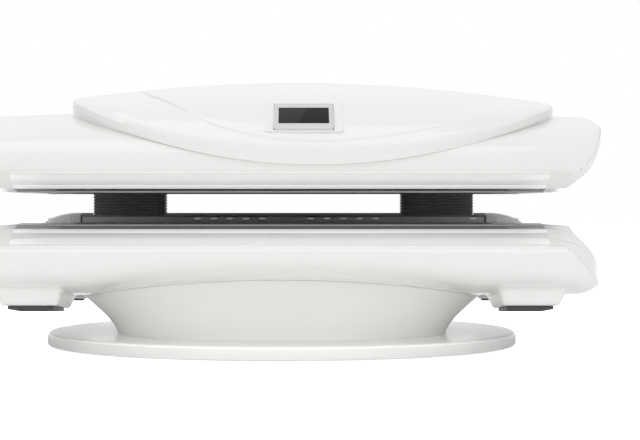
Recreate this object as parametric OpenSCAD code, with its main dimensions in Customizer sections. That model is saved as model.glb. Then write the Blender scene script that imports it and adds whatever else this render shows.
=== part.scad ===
// Light therapy bed: a lying hull on a waisted pedestal, with a hinged canopy over it.
// X runs along the bed, the front long side faces -Y, and Z is up from the floor.

/* [Shells] */
// Distance from the middle to the tip of each end
end_reach = 1047; // [1000:1:1150]
// How much shorter the shells are at their long edges than along the middle
end_bow = 112; // [80:1:160]
// Half width of the hull and of the canopy shell
half_width = 565; // [540:5:620]
// Wall of the moulded shells
wall = 4; // [3:0.5:6]
// Height of the plane between the two halves, which mirror each other about it
split_z = 471.5; // [460:0.5:500]
// Height of the long rim edges above or below the split
rim_drop = 114.8; // [110:0.2:125]
// Depth of the hull below its rim at the ends
hull_depth = 182; // [165:1:200]
// Depth of the hull below its rim over the pedestal
hull_waist = 135; // [125:1:145]
// Rise of the canopy above its rim at the middle
canopy_rise = 208; // [190:1:220]
// How much lower the canopy ridge is at its ends
ridge_fall = 24; // [10:1:40]

/* [Long rails] */
// Half length of the rails, the clear sheets and the light boards' bay
rail_half = 801; // [700:1:860]
// Width of the long rails: lip, trim and rim together
rails_w = 160; // [150:1:175]
// Distance from the split to the rails' inner edge
lip_gap = 43.5; // [35:0.5:60]
// Thickness of the dark lip strips
lip_t = 5; // [3:0.5:8]
// Width of the dark lip strips
lip_w = 92; // [80:1:100]
// How far a lip strip falls to its outer edge
lip_fall = 17; // [10:1:22]
// Width of the metal trims
trim_w = 34; // [28:1:40]
// How far the trims' outer edge lies below the rails' inner edge
trim_fall = 44; // [38:1:50]

/* [Light bays] */
// Depth of the trough below the rails' inner edge
trough_depth = 135; // [110:1:145]
// Rise of the canopy's arch above its inner edge
arch_rise = 185; // [150:1:190]
// Thickness of the clear sheets
sheet_t = 5; // [3:0.5:8]
// Distance from a clear sheet to the boards behind it
board_gap = 10; // [9:0.5:12]
// Thickness of a light board
board_t = 3; // [1.5:0.5:4]
// Spacing of the lights along a board
led_pitch = 61; // [50:1:100]

/* [Vent legs] */
// Middle of each vent leg along the bed
leg_x = 785; // [760:1:800]
// Middle of each vent leg across the bed
leg_y = 260; // [250:1:270]
// Length of the grille in each leg
grille_l = 145; // [130:1:150]
// Depth of the grille in each leg
grille_d = 170; // [160:1:175]
// Thickness of the grille
grille_t = 10; // [6:1:14]
// Height of the underside of the grilles at their middle
grille_z = 141; // [130:1:150]
// Slope of the grilles, facing slightly outward
grille_tilt = 8.4; // [0:0.1:12]

/* [Pedestal and floor plate] */
// Half length of the floor plate
plate_l = 797; // [700:1:820]
// Half depth of the floor plate
plate_d = 430; // [400:1:460]
// Thickness of the floor plate
plate_t = 42; // [30:1:60]
// Height of the pads under the floor plate
pad_h = 4; // [2:0.5:10]
// Half length of the pedestal at its foot
ped_l = 560; // [540:1:590]
// Half depth of the pedestal at its foot
ped_d = 277; // [265:1:300]
// How much the pedestal's half length grows up to the hull
ped_flare = 120; // [60:1:130]

/* [Top fin] */
// Half length of the fin
fin_half = 806; // [700:1:840]
// Middle of the fin along the bed
fin_mid = 103; // [0:1:120]
// How far the fin's edge stands out over the shell's long edge
fin_out = 7; // [0:1:12]
// Height of the fin's ridge
fin_top = 890; // [870:1:920]
// Height of the fin's edge above the shell's long edge, at its lowest
fin_low = 18; // [12:1:30]
// Height of the fin's edge wall
fin_edge = 21; // [15:1:30]
// Middle of the display along the bed
display_x = 72; // [40:1:110]
// Distance from the fin's edge to the middle of the display
display_in = 92; // [80:1:110]
// Width of the display
display_w = 180; // [120:1:220]
// Height of the display, along its slope
display_h = 136; // [100:1:150]

/* [Lift and hinge] */
// Distance from the rails' ends to the middle of each lift column
column_in = 218; // [200:1:240]
// Length of a bellows along the bed
bellows_l = 278; // [200:1:290]
// Depth of a bellows across the bed
bellows_d = 84; // [80:1:86]
// Spacing of the bellows' ribs
rib_pitch = 11; // [9:0.5:16]
// Distance from the shells' long edge to the hinge axis
hinge_out = 25; // [20:1:35]
// Radius of the hinge pins
pin_r = 6; // [5:0.5:8]
// Radial clearance of pins and shafts in their holes
fit = 0.05; // [0.02:0.01:0.1]
// Distance from the rails' inner edge to the lift struts
strut_in = 29; // [27:1:31]
// Radius of the strut rods
rod_r = 6; // [5:0.5:6]
// Length of a strut between its pivots
strut_l = 300; // [280:1:310]

/* [Fans and power] */
// Radius of the fan rotors
rotor_r = 52; // [40:1:54]
// Side of a fan's square housing
fan_side = 120; // [112:1:124]
// Thickness of a fan
fan_t = 25; // [20:1:32]

/* [Hidden] */
$fn = 48;

seam = 0.3;
weld = 1;
column_x = rail_half - column_in;
lip_in = half_width - rails_w;
fin_w = half_width + fin_out;
hinge_y = half_width + hinge_out;
strut_y = lip_in + strut_in;
rim_z = split_z - rim_drop;
lip_z = split_z - lip_gap;
plate_top = pad_h + plate_t;
bed_r = (lip_in * lip_in + trough_depth * trough_depth) / (2 * trough_depth);
bed_cz = lip_z - trough_depth + bed_r;
arch_r = (lip_in * lip_in + arch_rise * arch_rise) / (2 * arch_rise);
arch_cz = 2 * split_z - lip_z + arch_rise - arch_r;
shell_white = [0.93, 0.93, 0.92];
satin_metal = [0.78, 0.78, 0.78];
dark_grey = [0.27, 0.28, 0.28];
near_black = [0.12, 0.12, 0.13];
steel_grey = [0.55, 0.56, 0.58];

// Skins: a grid of points and a second grid inside it, closed along their edges
function flat_list(rows) = [for (r = rows) for (p = r) p];
function quad(a, b, c, d) = [[a, c, b], [a, d, c]];
function sheet_faces(m, n, base, flip) = [for (i = [0 : m - 2], j = [0 : n - 2])
    let (a = base + i * n + j, q = flip ? quad(a, a + n, a + n + 1, a + 1) : quad(a, a + 1, a + n + 1, a + n))
    each q];
function edge_faces(m, n, k) = [
    for (j = [0 : n - 2]) each quad(j + 1, j, k + j, k + j + 1),
    for (j = [0 : n - 2]) let (a = (m - 1) * n + j) each quad(a, a + 1, k + a + 1, k + a),
    for (i = [0 : m - 2]) let (a = i * n) each quad(a, a + n, k + a + n, k + a),
    for (i = [0 : m - 2]) let (a = i * n + n - 1) each quad(a + n, a, k + a, k + a + n)];
module skin(outer, inner) {
    m = len(outer);
    n = len(outer[0]);
    polyhedron(points = concat(flat_list(outer), flat_list(inner)),
        faces = concat(sheet_faces(m, n, 0, false), sheet_faces(m, n, m * n, true),
            edge_faces(m, n, m * n)));
}
// Tubes: closed rings of points, the first list outside and the second inside
function ring_faces(m, n, base, flip) = [for (i = [0 : m - 2], j = [0 : n - 1])
    let (a = base + i * n + j, b = base + i * n + (j + 1) % n)
    each (flip ? quad(a, a + n, b + n, b) : quad(a, b, b + n, a + n))];
function cap_faces(row, k, n, flip) = [for (j = [0 : n - 1])
    let (a = row + j, b = row + (j + 1) % n)
    each (flip ? quad(b, a, k + a, k + b) : quad(a, b, k + b, k + a))];
module tube_skin(outer, inner) {
    m = len(outer);
    n = len(outer[0]);
    polyhedron(points = concat(flat_list(outer), flat_list(inner)),
        faces = concat(ring_faces(m, n, 0, false), ring_faces(m, n, m * n, true),
            cap_faces(0, m * n, n, true), cap_faces((m - 1) * n, m * n, n, false)));
}
module solid_loft(rows) {
    m = len(rows);
    n = len(rows[0]);
    polyhedron(points = flat_list(rows), faces = concat(ring_faces(m, n, 0, false),
        [[for (j = [0 : n - 1]) j]], [[for (j = [n - 1 : -1 : 0]) (m - 1) * n + j]]));
}
function unit(v) = v / norm(v);
function clamp01(t) = max(0, min(1, t));
function smooth(t) = let (c = clamp01(t)) c * c * (3 - 2 * c);

// Places
module along_x(length) rotate([90, 0, 90]) linear_extrude(length, center = true) children();
module over_split() translate([0, 0, 2 * split_z]) mirror([0, 0, 1]) children();
module both_sides() {
    children();
    mirror([1, 0, 0]) children();
}

// Shell form: the arch across the bed, and the curve that ends it
function arch(y, w = half_width) = pow(max(0, 1 - pow(y / w, 2)), 0.45);
corner_run = 25;
function end_x(y, cut) = end_reach - end_bow * pow(y / half_width, 2)
    - cut * pow(max(0, (abs(y) - half_width + corner_run) / corner_run), 4);
// Each half's corner cut, and the run and share of the roll at its tips
bed_cut = 8;
bed_roll = [70, 0.5];
canopy_cut = 34;
canopy_roll = [50, 0.3];
function roll(x, y, cut, tip) =
    let (d = 0.9 * clamp01((abs(x) - end_x(y, cut) + tip[0]) / tip[0]))
    1 - tip[1] * (1 - sqrt(1 - d * d));
function depth_at(x) = hull_waist + (hull_depth - hull_waist) * min(1, pow(x / 620, 2));
function rise_at(x) = canopy_rise - ridge_fall * pow(x / end_reach, 2);
leg_half_l = grille_l / 2 + 8;
leg_half_d = grille_d / 2 + 8;
leg_run = 35;
leg_low = grille_z + grille_t + 0.6;
function leg_amount(x, y) = smooth(1 - (abs(abs(x) - leg_x) - leg_half_l) / leg_run)
    * smooth(1 - (abs(abs(y) - leg_y) - leg_half_d) / leg_run);
function leg_floor(y) = leg_low + (abs(y) - leg_y) * tan(grille_tilt);
function hull_base(x, y) = rim_z - depth_at(x) * arch(y) * roll(x, y, bed_cut, bed_roll);
function hull_z(x, y) = let (b = hull_base(x, y)) b + min(0, leg_floor(y) - b) * leg_amount(x, y);
function canopy_z(x, y) = 2 * split_z - rim_z
    + rise_at(x) * arch(y) * roll(x, y, canopy_cut, canopy_roll);

leg_in = leg_y - leg_half_d;
leg_out = leg_y + leg_half_d;
near_edge = half_width - 65;
row_y = [0, leg_in - 2 * leg_run, leg_in - leg_run, leg_in, leg_y - 45, leg_y + 45, leg_out,
    leg_out + leg_run, (leg_out + leg_run + near_edge) / 2, near_edge, half_width - 35,
    half_width - 18, half_width - 7, half_width];
function both_ways(v) = concat([for (i = [len(v) - 1 : -1 : 1]) -v[i]], v);
hull_cols = [0, 150, 300, 440, 540, 620, leg_x - leg_half_l - leg_run, leg_x - leg_half_l,
    leg_x + leg_half_l, leg_x + leg_half_l + leg_run];
canopy_cols = [0, 150, 300, 450, 600, 750, 850];
end_set = wall + 3;
function tip_x(y, cut) = end_x(min(half_width, abs(y) + 4), cut) - end_set;
function column_xs(cols, y, cut) = let (tip = tip_x(y, cut), last = min(cols[len(cols) - 1], tip - 40))
    both_ways(concat([for (c = cols) min(c, last)],
        [for (w = [0.35, 0.62, 0.84, 1]) last + (tip - last) * w]));
function inset_y(y) = abs(y) < near_edge ? y
    : y - sign(y) * wall * smooth((abs(y) - near_edge + 12) / 60);

module hull_shell() {
    rows = both_ways(row_y);
    outer = [for (y = rows) [for (x = column_xs(hull_cols, y, bed_cut)) [x, y, hull_z(x, y)]]];
    inner = [for (y = rows) [for (x = column_xs(hull_cols, y, bed_cut))
        [x, inset_y(y), abs(y) == half_width ? rim_z : hull_z(x, y) + wall]]];
    color(shell_white) difference() {
        skin(inner, outer);
        for (sx = [-1, 1], sy = [-1, 1]) {
            translate([sx * leg_x, sy * leg_y, grille_z + 15])
                cube([2 * rotor_r + 4, 2 * rotor_r + 4, 80], center = true);
            translate([sx * post_x, sy * post_y, rim_z - hull_depth + 20])
                cube([post_w + 4, post_w + 4, 90], center = true);
        }
    }
}

module canopy_shell() {
    rows = both_ways(row_y);
    low = 2 * split_z - rim_z;
    outer = [for (y = rows) [for (x = column_xs(canopy_cols, y, canopy_cut)) [x, y, canopy_z(x, y)]]];
    inner = [for (y = rows) [for (x = column_xs(canopy_cols, y, canopy_cut))
        [x, inset_y(y), abs(y) == half_width ? low : canopy_z(x, y) - wall]]];
    color(shell_white) difference() {
        skin(outer, inner);
        for (x = duct_x) translate([x, 0, low + canopy_rise - 15]) cylinder(r = rotor_r, h = 60);
    }
}

// Long rails: dark lip, metal trim and white rim, seen from the end of the bed
lip_out = lip_in + lip_w;
trim_out = lip_out + trim_w;
lip_edge = lip_z - lip_fall;
trim_edge = lip_z - trim_fall;
lip_profile = [[lip_in, lip_z], [lip_out, lip_edge], [lip_out, lip_edge - lip_t],
    [lip_in, lip_z - lip_t]];
trim_profile = [[lip_out, lip_edge], [lip_out + 4, lip_edge - 1.5], [trim_out, trim_edge],
    [trim_out, trim_edge - 8], [lip_out, lip_edge - 11]];
rim_profile = [[trim_out, trim_edge], [half_width - 4, rim_z + 11], [half_width, rim_z + 6],
    [half_width, rim_z], [half_width - 3 * wall, rim_z], [trim_out, trim_edge - 3 * wall]];
module rail(profile, side) mirror([0, side < 0 ? 1 : 0, 0])
    along_x(2 * rail_half) polygon(profile);
module column_windows() both_sides() translate([column_x, column_y, split_z])
    cube([bellows_l + 1, bellows_d + 1, 3 * lip_gap], center = true);
module bed_lip_rear() color(dark_grey) difference() {
    rail(lip_profile, 1);
    column_windows();
}

// End mouldings: five lines from the clear sheet's end arc to the shell's end edge, turned by an
// angle t round the end. A half is its arc's depth, its corner cut, its depth at the tips, the inner
// rim's reach, and for each of its two crests the set-back, the share of the depth and the power.
edge_turn = 9;
mouth_x = rail_half + seam;
function tip_depth(depth, tip) = let (d = 0.9 * (tip[0] - wall - 1) / tip[0])
    depth * (1 - tip[1] * (1 - sqrt(1 - d * d))) - 2;
bed_half = [trough_depth, bed_cut, tip_depth(hull_depth, bed_roll), 70,
    [41, 0.71, 1.9], [16, 0.3, 1.3]];
canopy_half = [arch_rise, canopy_cut, tip_depth(canopy_rise - ridge_fall, canopy_roll), 50,
    [48, 0.86, 2.8], [5, 0.33, 1.4]];
function from_side(t) = max(0, min(t, 180 - t));
function edge_y(t) = let (a = from_side(t), s = sign(t - 90))
    s * half_width * cos(max(0, (a - edge_turn) * 90 / (90 - edge_turn)));
function outer_edge(t, h) = let (a = from_side(t), y = edge_y(t))
    [mouth_x + (end_x(y, h[1]) - mouth_x) * min(1, a / edge_turn), y,
        rim_z + seam - h[2] * (a < edge_turn ? 0 : arch(y))];
function mouth(t, h) = [mouth_x, -lip_in * cos(t), lip_z - h[0] * sin(t)];
function inner_rim(t, h) = let (s = pow(min(1, from_side(t) / 10), 0.6))
    [mouth_x + h[3] * s, -(lip_in + 35 - 20 * s) * cos(t),
        lip_z - 6.5 * (1 - s) - (h[0] - 7) * pow(max(0, sin(t)), 1.4)];
function crest(t, h, across, top, form) = let (s = sqrt(min(1, from_side(t) / 10)),
    deep = rim_z - h[2] + form[1] * (lip_z - h[0] - rim_z + h[2]))
    [mouth_x + (end_x(edge_y(t), h[1]) - form[0] - mouth_x) * s, -across * cos(t),
        top - (top - deep) * pow(max(0, sin(t)), form[2])];
function end_lines(t, h) = [mouth(t, h), inner_rim(t, h),
    crest(t, h, lip_out + 2, lip_edge - 0.5, h[4]), crest(t, h, trim_out, trim_edge, h[5]),
    outer_edge(t, h)];
// A line between two of the five: halfway, moved out along the curve away from the long sides
function between(p, i, b) = let (a = p[i], c = p[i + 1], before = i > 0 ? p[i - 1] : 2 * a - c,
    after = i < 3 ? p[i + 2] : 2 * c - a)
    (a + c) / 2 + ((a + c) / 2 - (before + after) / 2) * b / 8;
function end_row(t, h) = let (p = end_lines(t, h), b = smooth(from_side(t) / 25))
    [for (k = [0 : 8]) k % 2 == 0 ? p[k / 2] : between(p, (k - 1) / 2, b)];
function end_inward(t, k) = let (w = pow(k / 8, 3), flat = [-sin(t), cos(t), 0])
    unit(flat * (0.3 * (1 - w) + w) - [0, 0, 1 - w]);
end_steps = [0, 1.5, 3, 6, 9, 12, 16, 22, 32, 44, 58, 73, 90];
function end_angles() = concat(end_steps, [for (i = [len(end_steps) - 2 : -1 : 0]) 180 - end_steps[i]]);
module end_moulding(h) {
    outer = [for (t = end_angles()) end_row(t, h)];
    inner = [for (t = end_angles()) let (row = end_row(t, h)) [for (k = [0 : 8])
        let (p = row[k] + wall * end_inward(t, k)) [max(p[0], mouth_x), p[1], p[2]]]];
    skin(outer, inner);
}

// Light bays
module arc_strip(r_in, r_out, cz, half, up) translate([0, cz]) intersection() {
    difference() {
        circle(r_out, $fn = 200);
        circle(r_in, $fn = 200);
    }
    translate([-half, up ? 0 : -r_out - 1]) square([2 * half, r_out + 1]);
}
module boards(r, cz, count, step, width, up) {
    for (i = [0 : count - 1]) {
        a = (i - (count - 1) / 2) * step;
        translate([0, 0, cz]) rotate([up ? a : a + 180, 0, 0]) {
            translate([-bay_half, -width / 2, r]) cube([2 * bay_half, width, board_t]);
            for (x = [-led_half : led_pitch : led_half + 1])
                translate([x, 0, r - led_h]) cylinder(r = 9, h = led_h + 0.5, $fn = 24);
        }
    }
}
bay_half = rail_half - 5;
led_half = floor((bay_half - 20) / led_pitch) * led_pitch;
led_h = 6;
tray_t = 2.5;
tray_half = lip_in - 25;
bed_board_r = bed_r + sheet_t + board_gap;
arch_board_r = arch_r + sheet_t + board_gap;
bed_board_w = 150;
arch_board_w = 140;
// Angle between boards, so that the outermost ones stay this far inside the rails' inner edge
function board_step(r, count, width, inside) =
    2 * (asin(lip_in / r) - atan((width / 2 + inside) / r)) / (count - 1);
function tray_r(r, w) = norm([r + board_t, w / 2]) + seam;
bed_tray_r = tray_r(bed_board_r, bed_board_w);
arch_tray_r = tray_r(arch_board_r, arch_board_w);
module bed_clear_sheet() color([0.8, 0.85, 0.88])
    along_x(2 * rail_half) arc_strip(bed_r, bed_r + sheet_t, bed_cz, lip_in - seam, false);
module canopy_clear_sheet() color([0.8, 0.85, 0.88])
    along_x(2 * rail_half) arc_strip(arch_r, arch_r + sheet_t, arch_cz, lip_in - seam, true);
module bed_light_boards() color(near_black)
    boards(bed_board_r, bed_cz, 5, board_step(bed_board_r, 5, bed_board_w, 21), bed_board_w, false);
module canopy_light_boards() color(near_black)
    boards(arch_board_r, arch_cz, 6, board_step(arch_board_r, 6, arch_board_w, 10.6), arch_board_w, true);
module bed_light_tray() color(steel_grey)
    along_x(2 * bay_half) arc_strip(bed_tray_r, bed_tray_r + tray_t, bed_cz, tray_half, false);
module canopy_light_tray() color(steel_grey) difference() {
    along_x(2 * bay_half) arc_strip(arch_tray_r, arch_tray_r + tray_t, arch_cz, tray_half, true);
    for (x = duct_x) translate([x, 0, arch_cz + arch_tray_r - 5]) cylinder(r = 40, h = 20);
}

// Base frame
rail_y = lip_in - 55;
rail_w = 30;
post_x = 450;
post_y = 100;
post_w = 50;
foot_rail_t = 6;
beam_t = 24;
beam_z = bed_cz - bed_tray_r - tray_t - beam_t - seam;
bed_rail_z = 290;
bed_rail_h = 40;
strut_z = split_z - 171.5;
eye_t = 20;
hanger_x = [200, rail_half - 41];
hanger_w = 30;
rail_out = rail_y + rail_w - weld;
hanger_y = lip_in + 1;
hanger_low = lip_z - lip_t - 7 * lip_fall / lip_w - seam;
module bed_frame() color(steel_grey) both_sides() {
    for (s = [-1, 1]) translate([0, s * (rail_y + rail_w / 2) - rail_w / 2, bed_rail_z])
        cube([rail_half - 10, rail_w, bed_rail_h]);
    for (x = [post_x, rail_half - 141]) translate([x, 0, 0]) along_x(40)
        polygon([[-rail_y - rail_w, bed_rail_z], [-300, beam_z], [300, beam_z],
            [rail_y + rail_w, bed_rail_z], [rail_y, bed_rail_z], [290, beam_z + beam_t],
            [-290, beam_z + beam_t], [-rail_y, bed_rail_z]]);
    for (x = hanger_x, s = [-1, 1]) translate([x, 0, 0]) mirror([0, s < 0 ? 1 : 0, 0])
        along_x(hanger_w) polygon([[rail_out, bed_rail_z + bed_rail_h - weld],
            [hanger_y, bed_rail_z + bed_rail_h - weld], [hanger_y, hanger_low], [hanger_y + 6, hanger_low],
            [hanger_y + 6, bed_rail_z + 12], [rail_out, bed_rail_z + 12]]);
    for (s = [-1, 1]) translate([column_x + s * (eye_t / 2 + 5.5) - 2.5, rail_out, strut_z - 10])
        cube([5, strut_y + 14 - rail_y - rail_w + weld, 28]);
    translate([column_x - eye_t / 2 - 8, strut_y, strut_z]) rotate([0, 90, 0])
        cylinder(r = pin_r, h = eye_t + 16);
}
module pedestal_frame() color(steel_grey) both_sides() {
    for (s = [-1, 1]) difference() {
        translate([post_x - post_w / 2, s * post_y - post_w / 2, plate_top])
            cube([post_w, post_w, beam_z - plate_top]);
        translate([post_x - post_w / 2 + 3, s * post_y - post_w / 2 + 3, plate_top + 6])
            cube([post_w - 6, post_w - 6, beam_z - plate_top - 12]);
    }
    translate([0, -20, plate_top]) cube([post_x - post_w / 2, 40, foot_rail_t]);
    translate([post_x - 12, post_w / 2 - post_y, plate_top + 60])
        cube([24, 2 * post_y - post_w, 30]);
}

// Pedestal and floor plate
function oval(rx, ry, z, n, e) = [for (i = [0 : n - 1]) let (t = 360 * i / n, c = cos(t), s = sin(t))
    [rx * sign(c) * pow(abs(c), 2 / e), ry * sign(s) * pow(abs(s), 2 / e), z]];
ped_n = 56;
ped_e = 2.5;
ped_rows = [0, 0.12, 0.3, 0.5, 0.72, 1];
ped_grow_d = 24;
function ped_ring(t, inset) = [for (i = [0 : ped_n - 1])
    let (foot = oval(ped_l - inset, ped_d - inset, 0, ped_n, ped_e)[i],
        top = oval(ped_l + ped_flare - inset, ped_d + ped_grow_d - inset, 0, ped_n, ped_e)[i],
        reach = hull_base(top[0], top[1]) - 1.5 - inset * 0.3,
        waist = 14 * sin(180 * pow(t, 0.8)))
    let (p = foot + (top - foot) * t, q = p * (1 - waist / norm([p[0], p[1] * 2])))
    [q[0], q[1], plate_top + t * (reach - plate_top)]];
panel_w = 130;
panel_h = 60;
panel_z = plate_top + 24;
module pedestal_shell() color(shell_white) difference() {
    tube_skin([for (t = ped_rows) ped_ring(t, 0)], [for (t = ped_rows) ped_ring(t, wall)]);
    translate([-panel_w / 2 - seam, ped_d - 40, panel_z - seam])
        cube([panel_w + 2 * seam, 80, panel_h + 2 * seam]);
}
module floor_plate() color(shell_white) solid_loft([
    for (r = [[12, 0], [3, 3], [0, 10], [0, plate_t - 14], [4, plate_t - 5], [14, plate_t]])
        oval(plate_l - r[0], plate_d - r[0], pad_h + r[1], 72, 2.1)]);
module floor_pads() color(near_black) both_sides() for (p = [[0, 0], [620, 0], [330, 290], [330, -290]])
    translate([p[0], p[1], 0]) cylinder(r = 30, h = pad_h);

// Vent legs: grilles and the fans above them
module grille_place(sx, sy) translate([sx * leg_x, sy * leg_y, grille_z])
    rotate([sy * grille_tilt, 0, 0]) children();
slot_n = 9;
module vent_grille(sx, sy) color(near_black) grille_place(sx, sy) difference() {
    translate([-grille_l / 2, -grille_d / 2, 0]) cube([grille_l, grille_d, grille_t]);
    for (i = [0 : slot_n - 1])
        translate([-grille_l / 2 + 10, -grille_d / 2 + 14 + i * 16.5, -1])
            cube([grille_l - 20, 8, grille_t + 2]);
}
fan_z = leg_low + 22;
hub_r = 19;
shaft_r = 3;
foot_r = 2.8;
foot_at = fan_side / 2 - 3;
duct_x = [-160, 380];
module fan_frame() {
    difference() {
        translate([-fan_side / 2, -fan_side / 2, 0]) cube([fan_side, fan_side, fan_t]);
        translate([0, 0, -1]) cylinder(r = rotor_r + 1.5, h = fan_t + 2);
    }
    cylinder(r = hub_r - 1, h = 4);
    for (a = [0 : 90 : 270]) rotate([0, 0, a + 45]) translate([0, -3, 0]) cube([rotor_r + 3, 6, 3]);
    cylinder(r = shaft_r, h = fan_t - 4);
}
module fan_feet(side) for (sx = [-1, 1], sy = [-1, 1]) {
    drop = fan_z - leg_low - wall - sy * side * foot_at * tan(grille_tilt) - 0.9;
    translate([sx * foot_at, sy * foot_at, -drop]) cylinder(r = foot_r, h = drop + weld);
}
module rotor() {
    difference() {
        union() {
            translate([0, 0, 5]) cylinder(r = hub_r, h = fan_t - 7);
            for (i = [0 : 6]) rotate([0, 0, i * 360 / 7]) translate([10, 0, 6 + (fan_t - 9) / 2])
                rotate([35, 0, 0]) translate([0, -1.2, -9]) cube([rotor_r - 12, 2.4, 18]);
        }
        translate([0, 0, -1]) cylinder(r = shaft_r + fit, h = fan_t - 2.5);
        translate([0, 0, fan_t - 2]) cylinder(r = rotor_r + 5, h = 20);
        translate([0, 0, -15]) cylinder(r = rotor_r + 5, h = 20);
    }
}
leg_corners = [[-1, -1], [1, -1], [-1, 1], [1, 1]];
module fan_at(i) translate([leg_corners[i][0] * leg_x, leg_corners[i][1] * leg_y, fan_z]) children();
module fan_housings() color(near_black) for (i = [0 : 3]) fan_at(i) {
    fan_frame();
    fan_feet(leg_corners[i][1]);
}
module fan_rotor(i) color([0.2, 0.2, 0.21]) fan_at(i) rotor();

// Power
supply = [140, 110, 55];
supply_x = 250;
supply_y = 105;
control = [220, 160, 70];
module power_supplies() color(satin_metal) both_sides() for (s = [-1, 1])
    translate([supply_x, s * supply_y - supply[1] / 2, plate_top]) cube(supply);
module control_box() color(near_black)
    translate([-control[0] / 2, -control[1] / 2, plate_top + foot_rail_t]) cube(control);
module inlet_panel() color(near_black) difference() {
    union() {
        translate([-panel_w / 2, ped_d - 22, panel_z]) cube([panel_w, 16, panel_h]);
        for (s = [-1, 1]) translate([s * (panel_w / 2 - 8) - 4, ped_d - 60, panel_z])
            cube([8, 39, 30]);
    }
    translate([-45, ped_d - 23, panel_z + 18]) cube([31, 20, 25]);
    translate([18, ped_d - 23, panel_z + 16]) cube([24, 20, 28]);
    translate([15.5, ped_d - 18, rocker_z]) rotate([0, 90, 0]) cylinder(r = axle_r + fit, h = 29);
}
axle_r = 2.5;
module mains_inlet() color([0.3, 0.3, 0.31]) difference() {
    translate([-45 + seam, ped_d - 40, panel_z + 18 + seam]) cube([31 - 2 * seam, 33, 25 - 2 * seam]);
    translate([-42, ped_d - 22, panel_z + 21.5]) cube([25, 20, 18]);
}
rocker_z = panel_z + 30;
rocker_r = 11;
module switch_rocker() color([0.16, 0.16, 0.17]) translate([20, ped_d - 18, rocker_z]) rotate([0, 90, 0]) {
    difference() {
        cylinder(r = rocker_r, h = 20);
        translate([-3, 0, -1]) rotate([0, 0, 8]) translate([-14, 7.5, 0]) cube([34, 12, 22]);
    }
    translate([0, 0, -4]) cylinder(r = axle_r, h = 28);
}

// Hinges behind the shells
leaf_w = 60;
leaf_y = half_width + 0.4;
leaf_t = 9;
leaf_h = 124;
leaf_gap = 16;
knuckle_r = 14;
screw_r = 3;
head_r = 6;
head_h = 4;
screw_x = 19;
screw_z = [60, 120];
module pin_hole(r) translate([-leaf_w, hinge_y, split_z]) rotate([0, 90, 0]) cylinder(r = r, h = 2 * leaf_w);
module knuckle(x, w) {
    translate([x, hinge_y, split_z]) rotate([0, 90, 0]) cylinder(r = knuckle_r, h = w);
    translate([x, leaf_y, split_z - knuckle_r - leaf_gap])
        cube([w, hinge_y - leaf_y - 2, knuckle_r + leaf_gap]);
}
module base_leaf() difference() {
    union() {
        translate([-leaf_w / 2, leaf_y, split_z - leaf_gap - leaf_h]) cube([leaf_w, leaf_t, leaf_h]);
        for (x = [-leaf_w / 2, leaf_w / 6 + seam]) knuckle(x, leaf_w / 3 - seam);
    }
    pin_hole(pin_r + fit);
    screw_places() translate([0, 0, -2]) cylinder(r = screw_r + fit, h = leaf_t + 4);
}
module screw_places() for (s = [-1, 1], z = screw_z) translate([s * screw_x, leaf_y, split_z - z])
    rotate([-90, 0, 0]) children();
module canopy_leaf() difference() {
    union() {
        translate([-leaf_w / 2, leaf_y, split_z + leaf_gap]) cube([leaf_w, leaf_t, leaf_h]);
        over_split() {
            knuckle(-leaf_w / 6 + seam, leaf_w / 3 - seam);
            screw_places() translate([0, 0, leaf_t]) cylinder(r = head_r, h = head_h);
        }
    }
    pin_hole(pin_r + fit);
}
module hinge_pins() color(satin_metal) both_sides() translate([column_x - leaf_w / 2 - 2, hinge_y, split_z])
    rotate([0, 90, 0]) cylinder(r = pin_r, h = leaf_w + 4);
module hinge_screws() color(satin_metal) both_sides() translate([column_x, 0, 0]) screw_places() {
    cylinder(r = screw_r, h = leaf_t);
    translate([0, 0, leaf_t]) cylinder(r = head_r, h = head_h);
}

// Lift struts and their bellows
barrel_r = rod_r + 5;
column_y = lip_in + 5 + bellows_d / 2;
eye_r = 12;
rod_eye_r = 22;
rod_eye_hole = pin_r + 8;
barrel_top = 170;
module strut_cylinder() color(steel_grey) translate([column_x, strut_y, strut_z]) difference() {
    union() {
        translate([-eye_t / 2, 0, 0]) rotate([0, 90, 0]) cylinder(r = eye_r, h = eye_t);
        translate([0, 0, 5]) cylinder(r = barrel_r, h = barrel_top - 5);
    }
    translate([-eye_t, 0, 0]) rotate([0, 90, 0]) cylinder(r = pin_r + fit, h = 2 * eye_t);
    translate([0, 0, 30]) cylinder(r = rod_r + fit, h = barrel_top);
}
module strut_rod() color(satin_metal) translate([column_x, strut_y, strut_z]) difference() {
    union() {
        translate([0, 0, 32]) cylinder(r = rod_r, h = strut_l - 32 - rod_eye_hole - 2);
        translate([-eye_t / 2, 0, strut_l]) rotate([0, 90, 0]) cylinder(r = rod_eye_r, h = eye_t);
    }
    translate([-eye_t, 0, strut_l]) rotate([0, 90, 0]) cylinder(r = rod_eye_hole, h = 2 * eye_t);
}
bellows_n = 24;
bellows_low = lip_z - 30;
rib_count = ceil((2 * (split_z - bellows_low)) / rib_pitch);
rib_in = 5;
bellows_wall = 2.5;
function bellows_ring(k, inset) = [for (p = oval(bellows_l / 2 - inset - (k % 2) * rib_in,
    bellows_d / 2 - inset - (k % 2) * rib_in, bellows_low + k * rib_pitch / 2, bellows_n, 5)) p];
module bellows() color(near_black) translate([column_x, column_y, 0])
    tube_skin([for (k = [0 : 2 * rib_count]) bellows_ring(k, 0)],
        [for (k = [0 : 2 * rib_count]) bellows_ring(k, bellows_wall)]);

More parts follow.
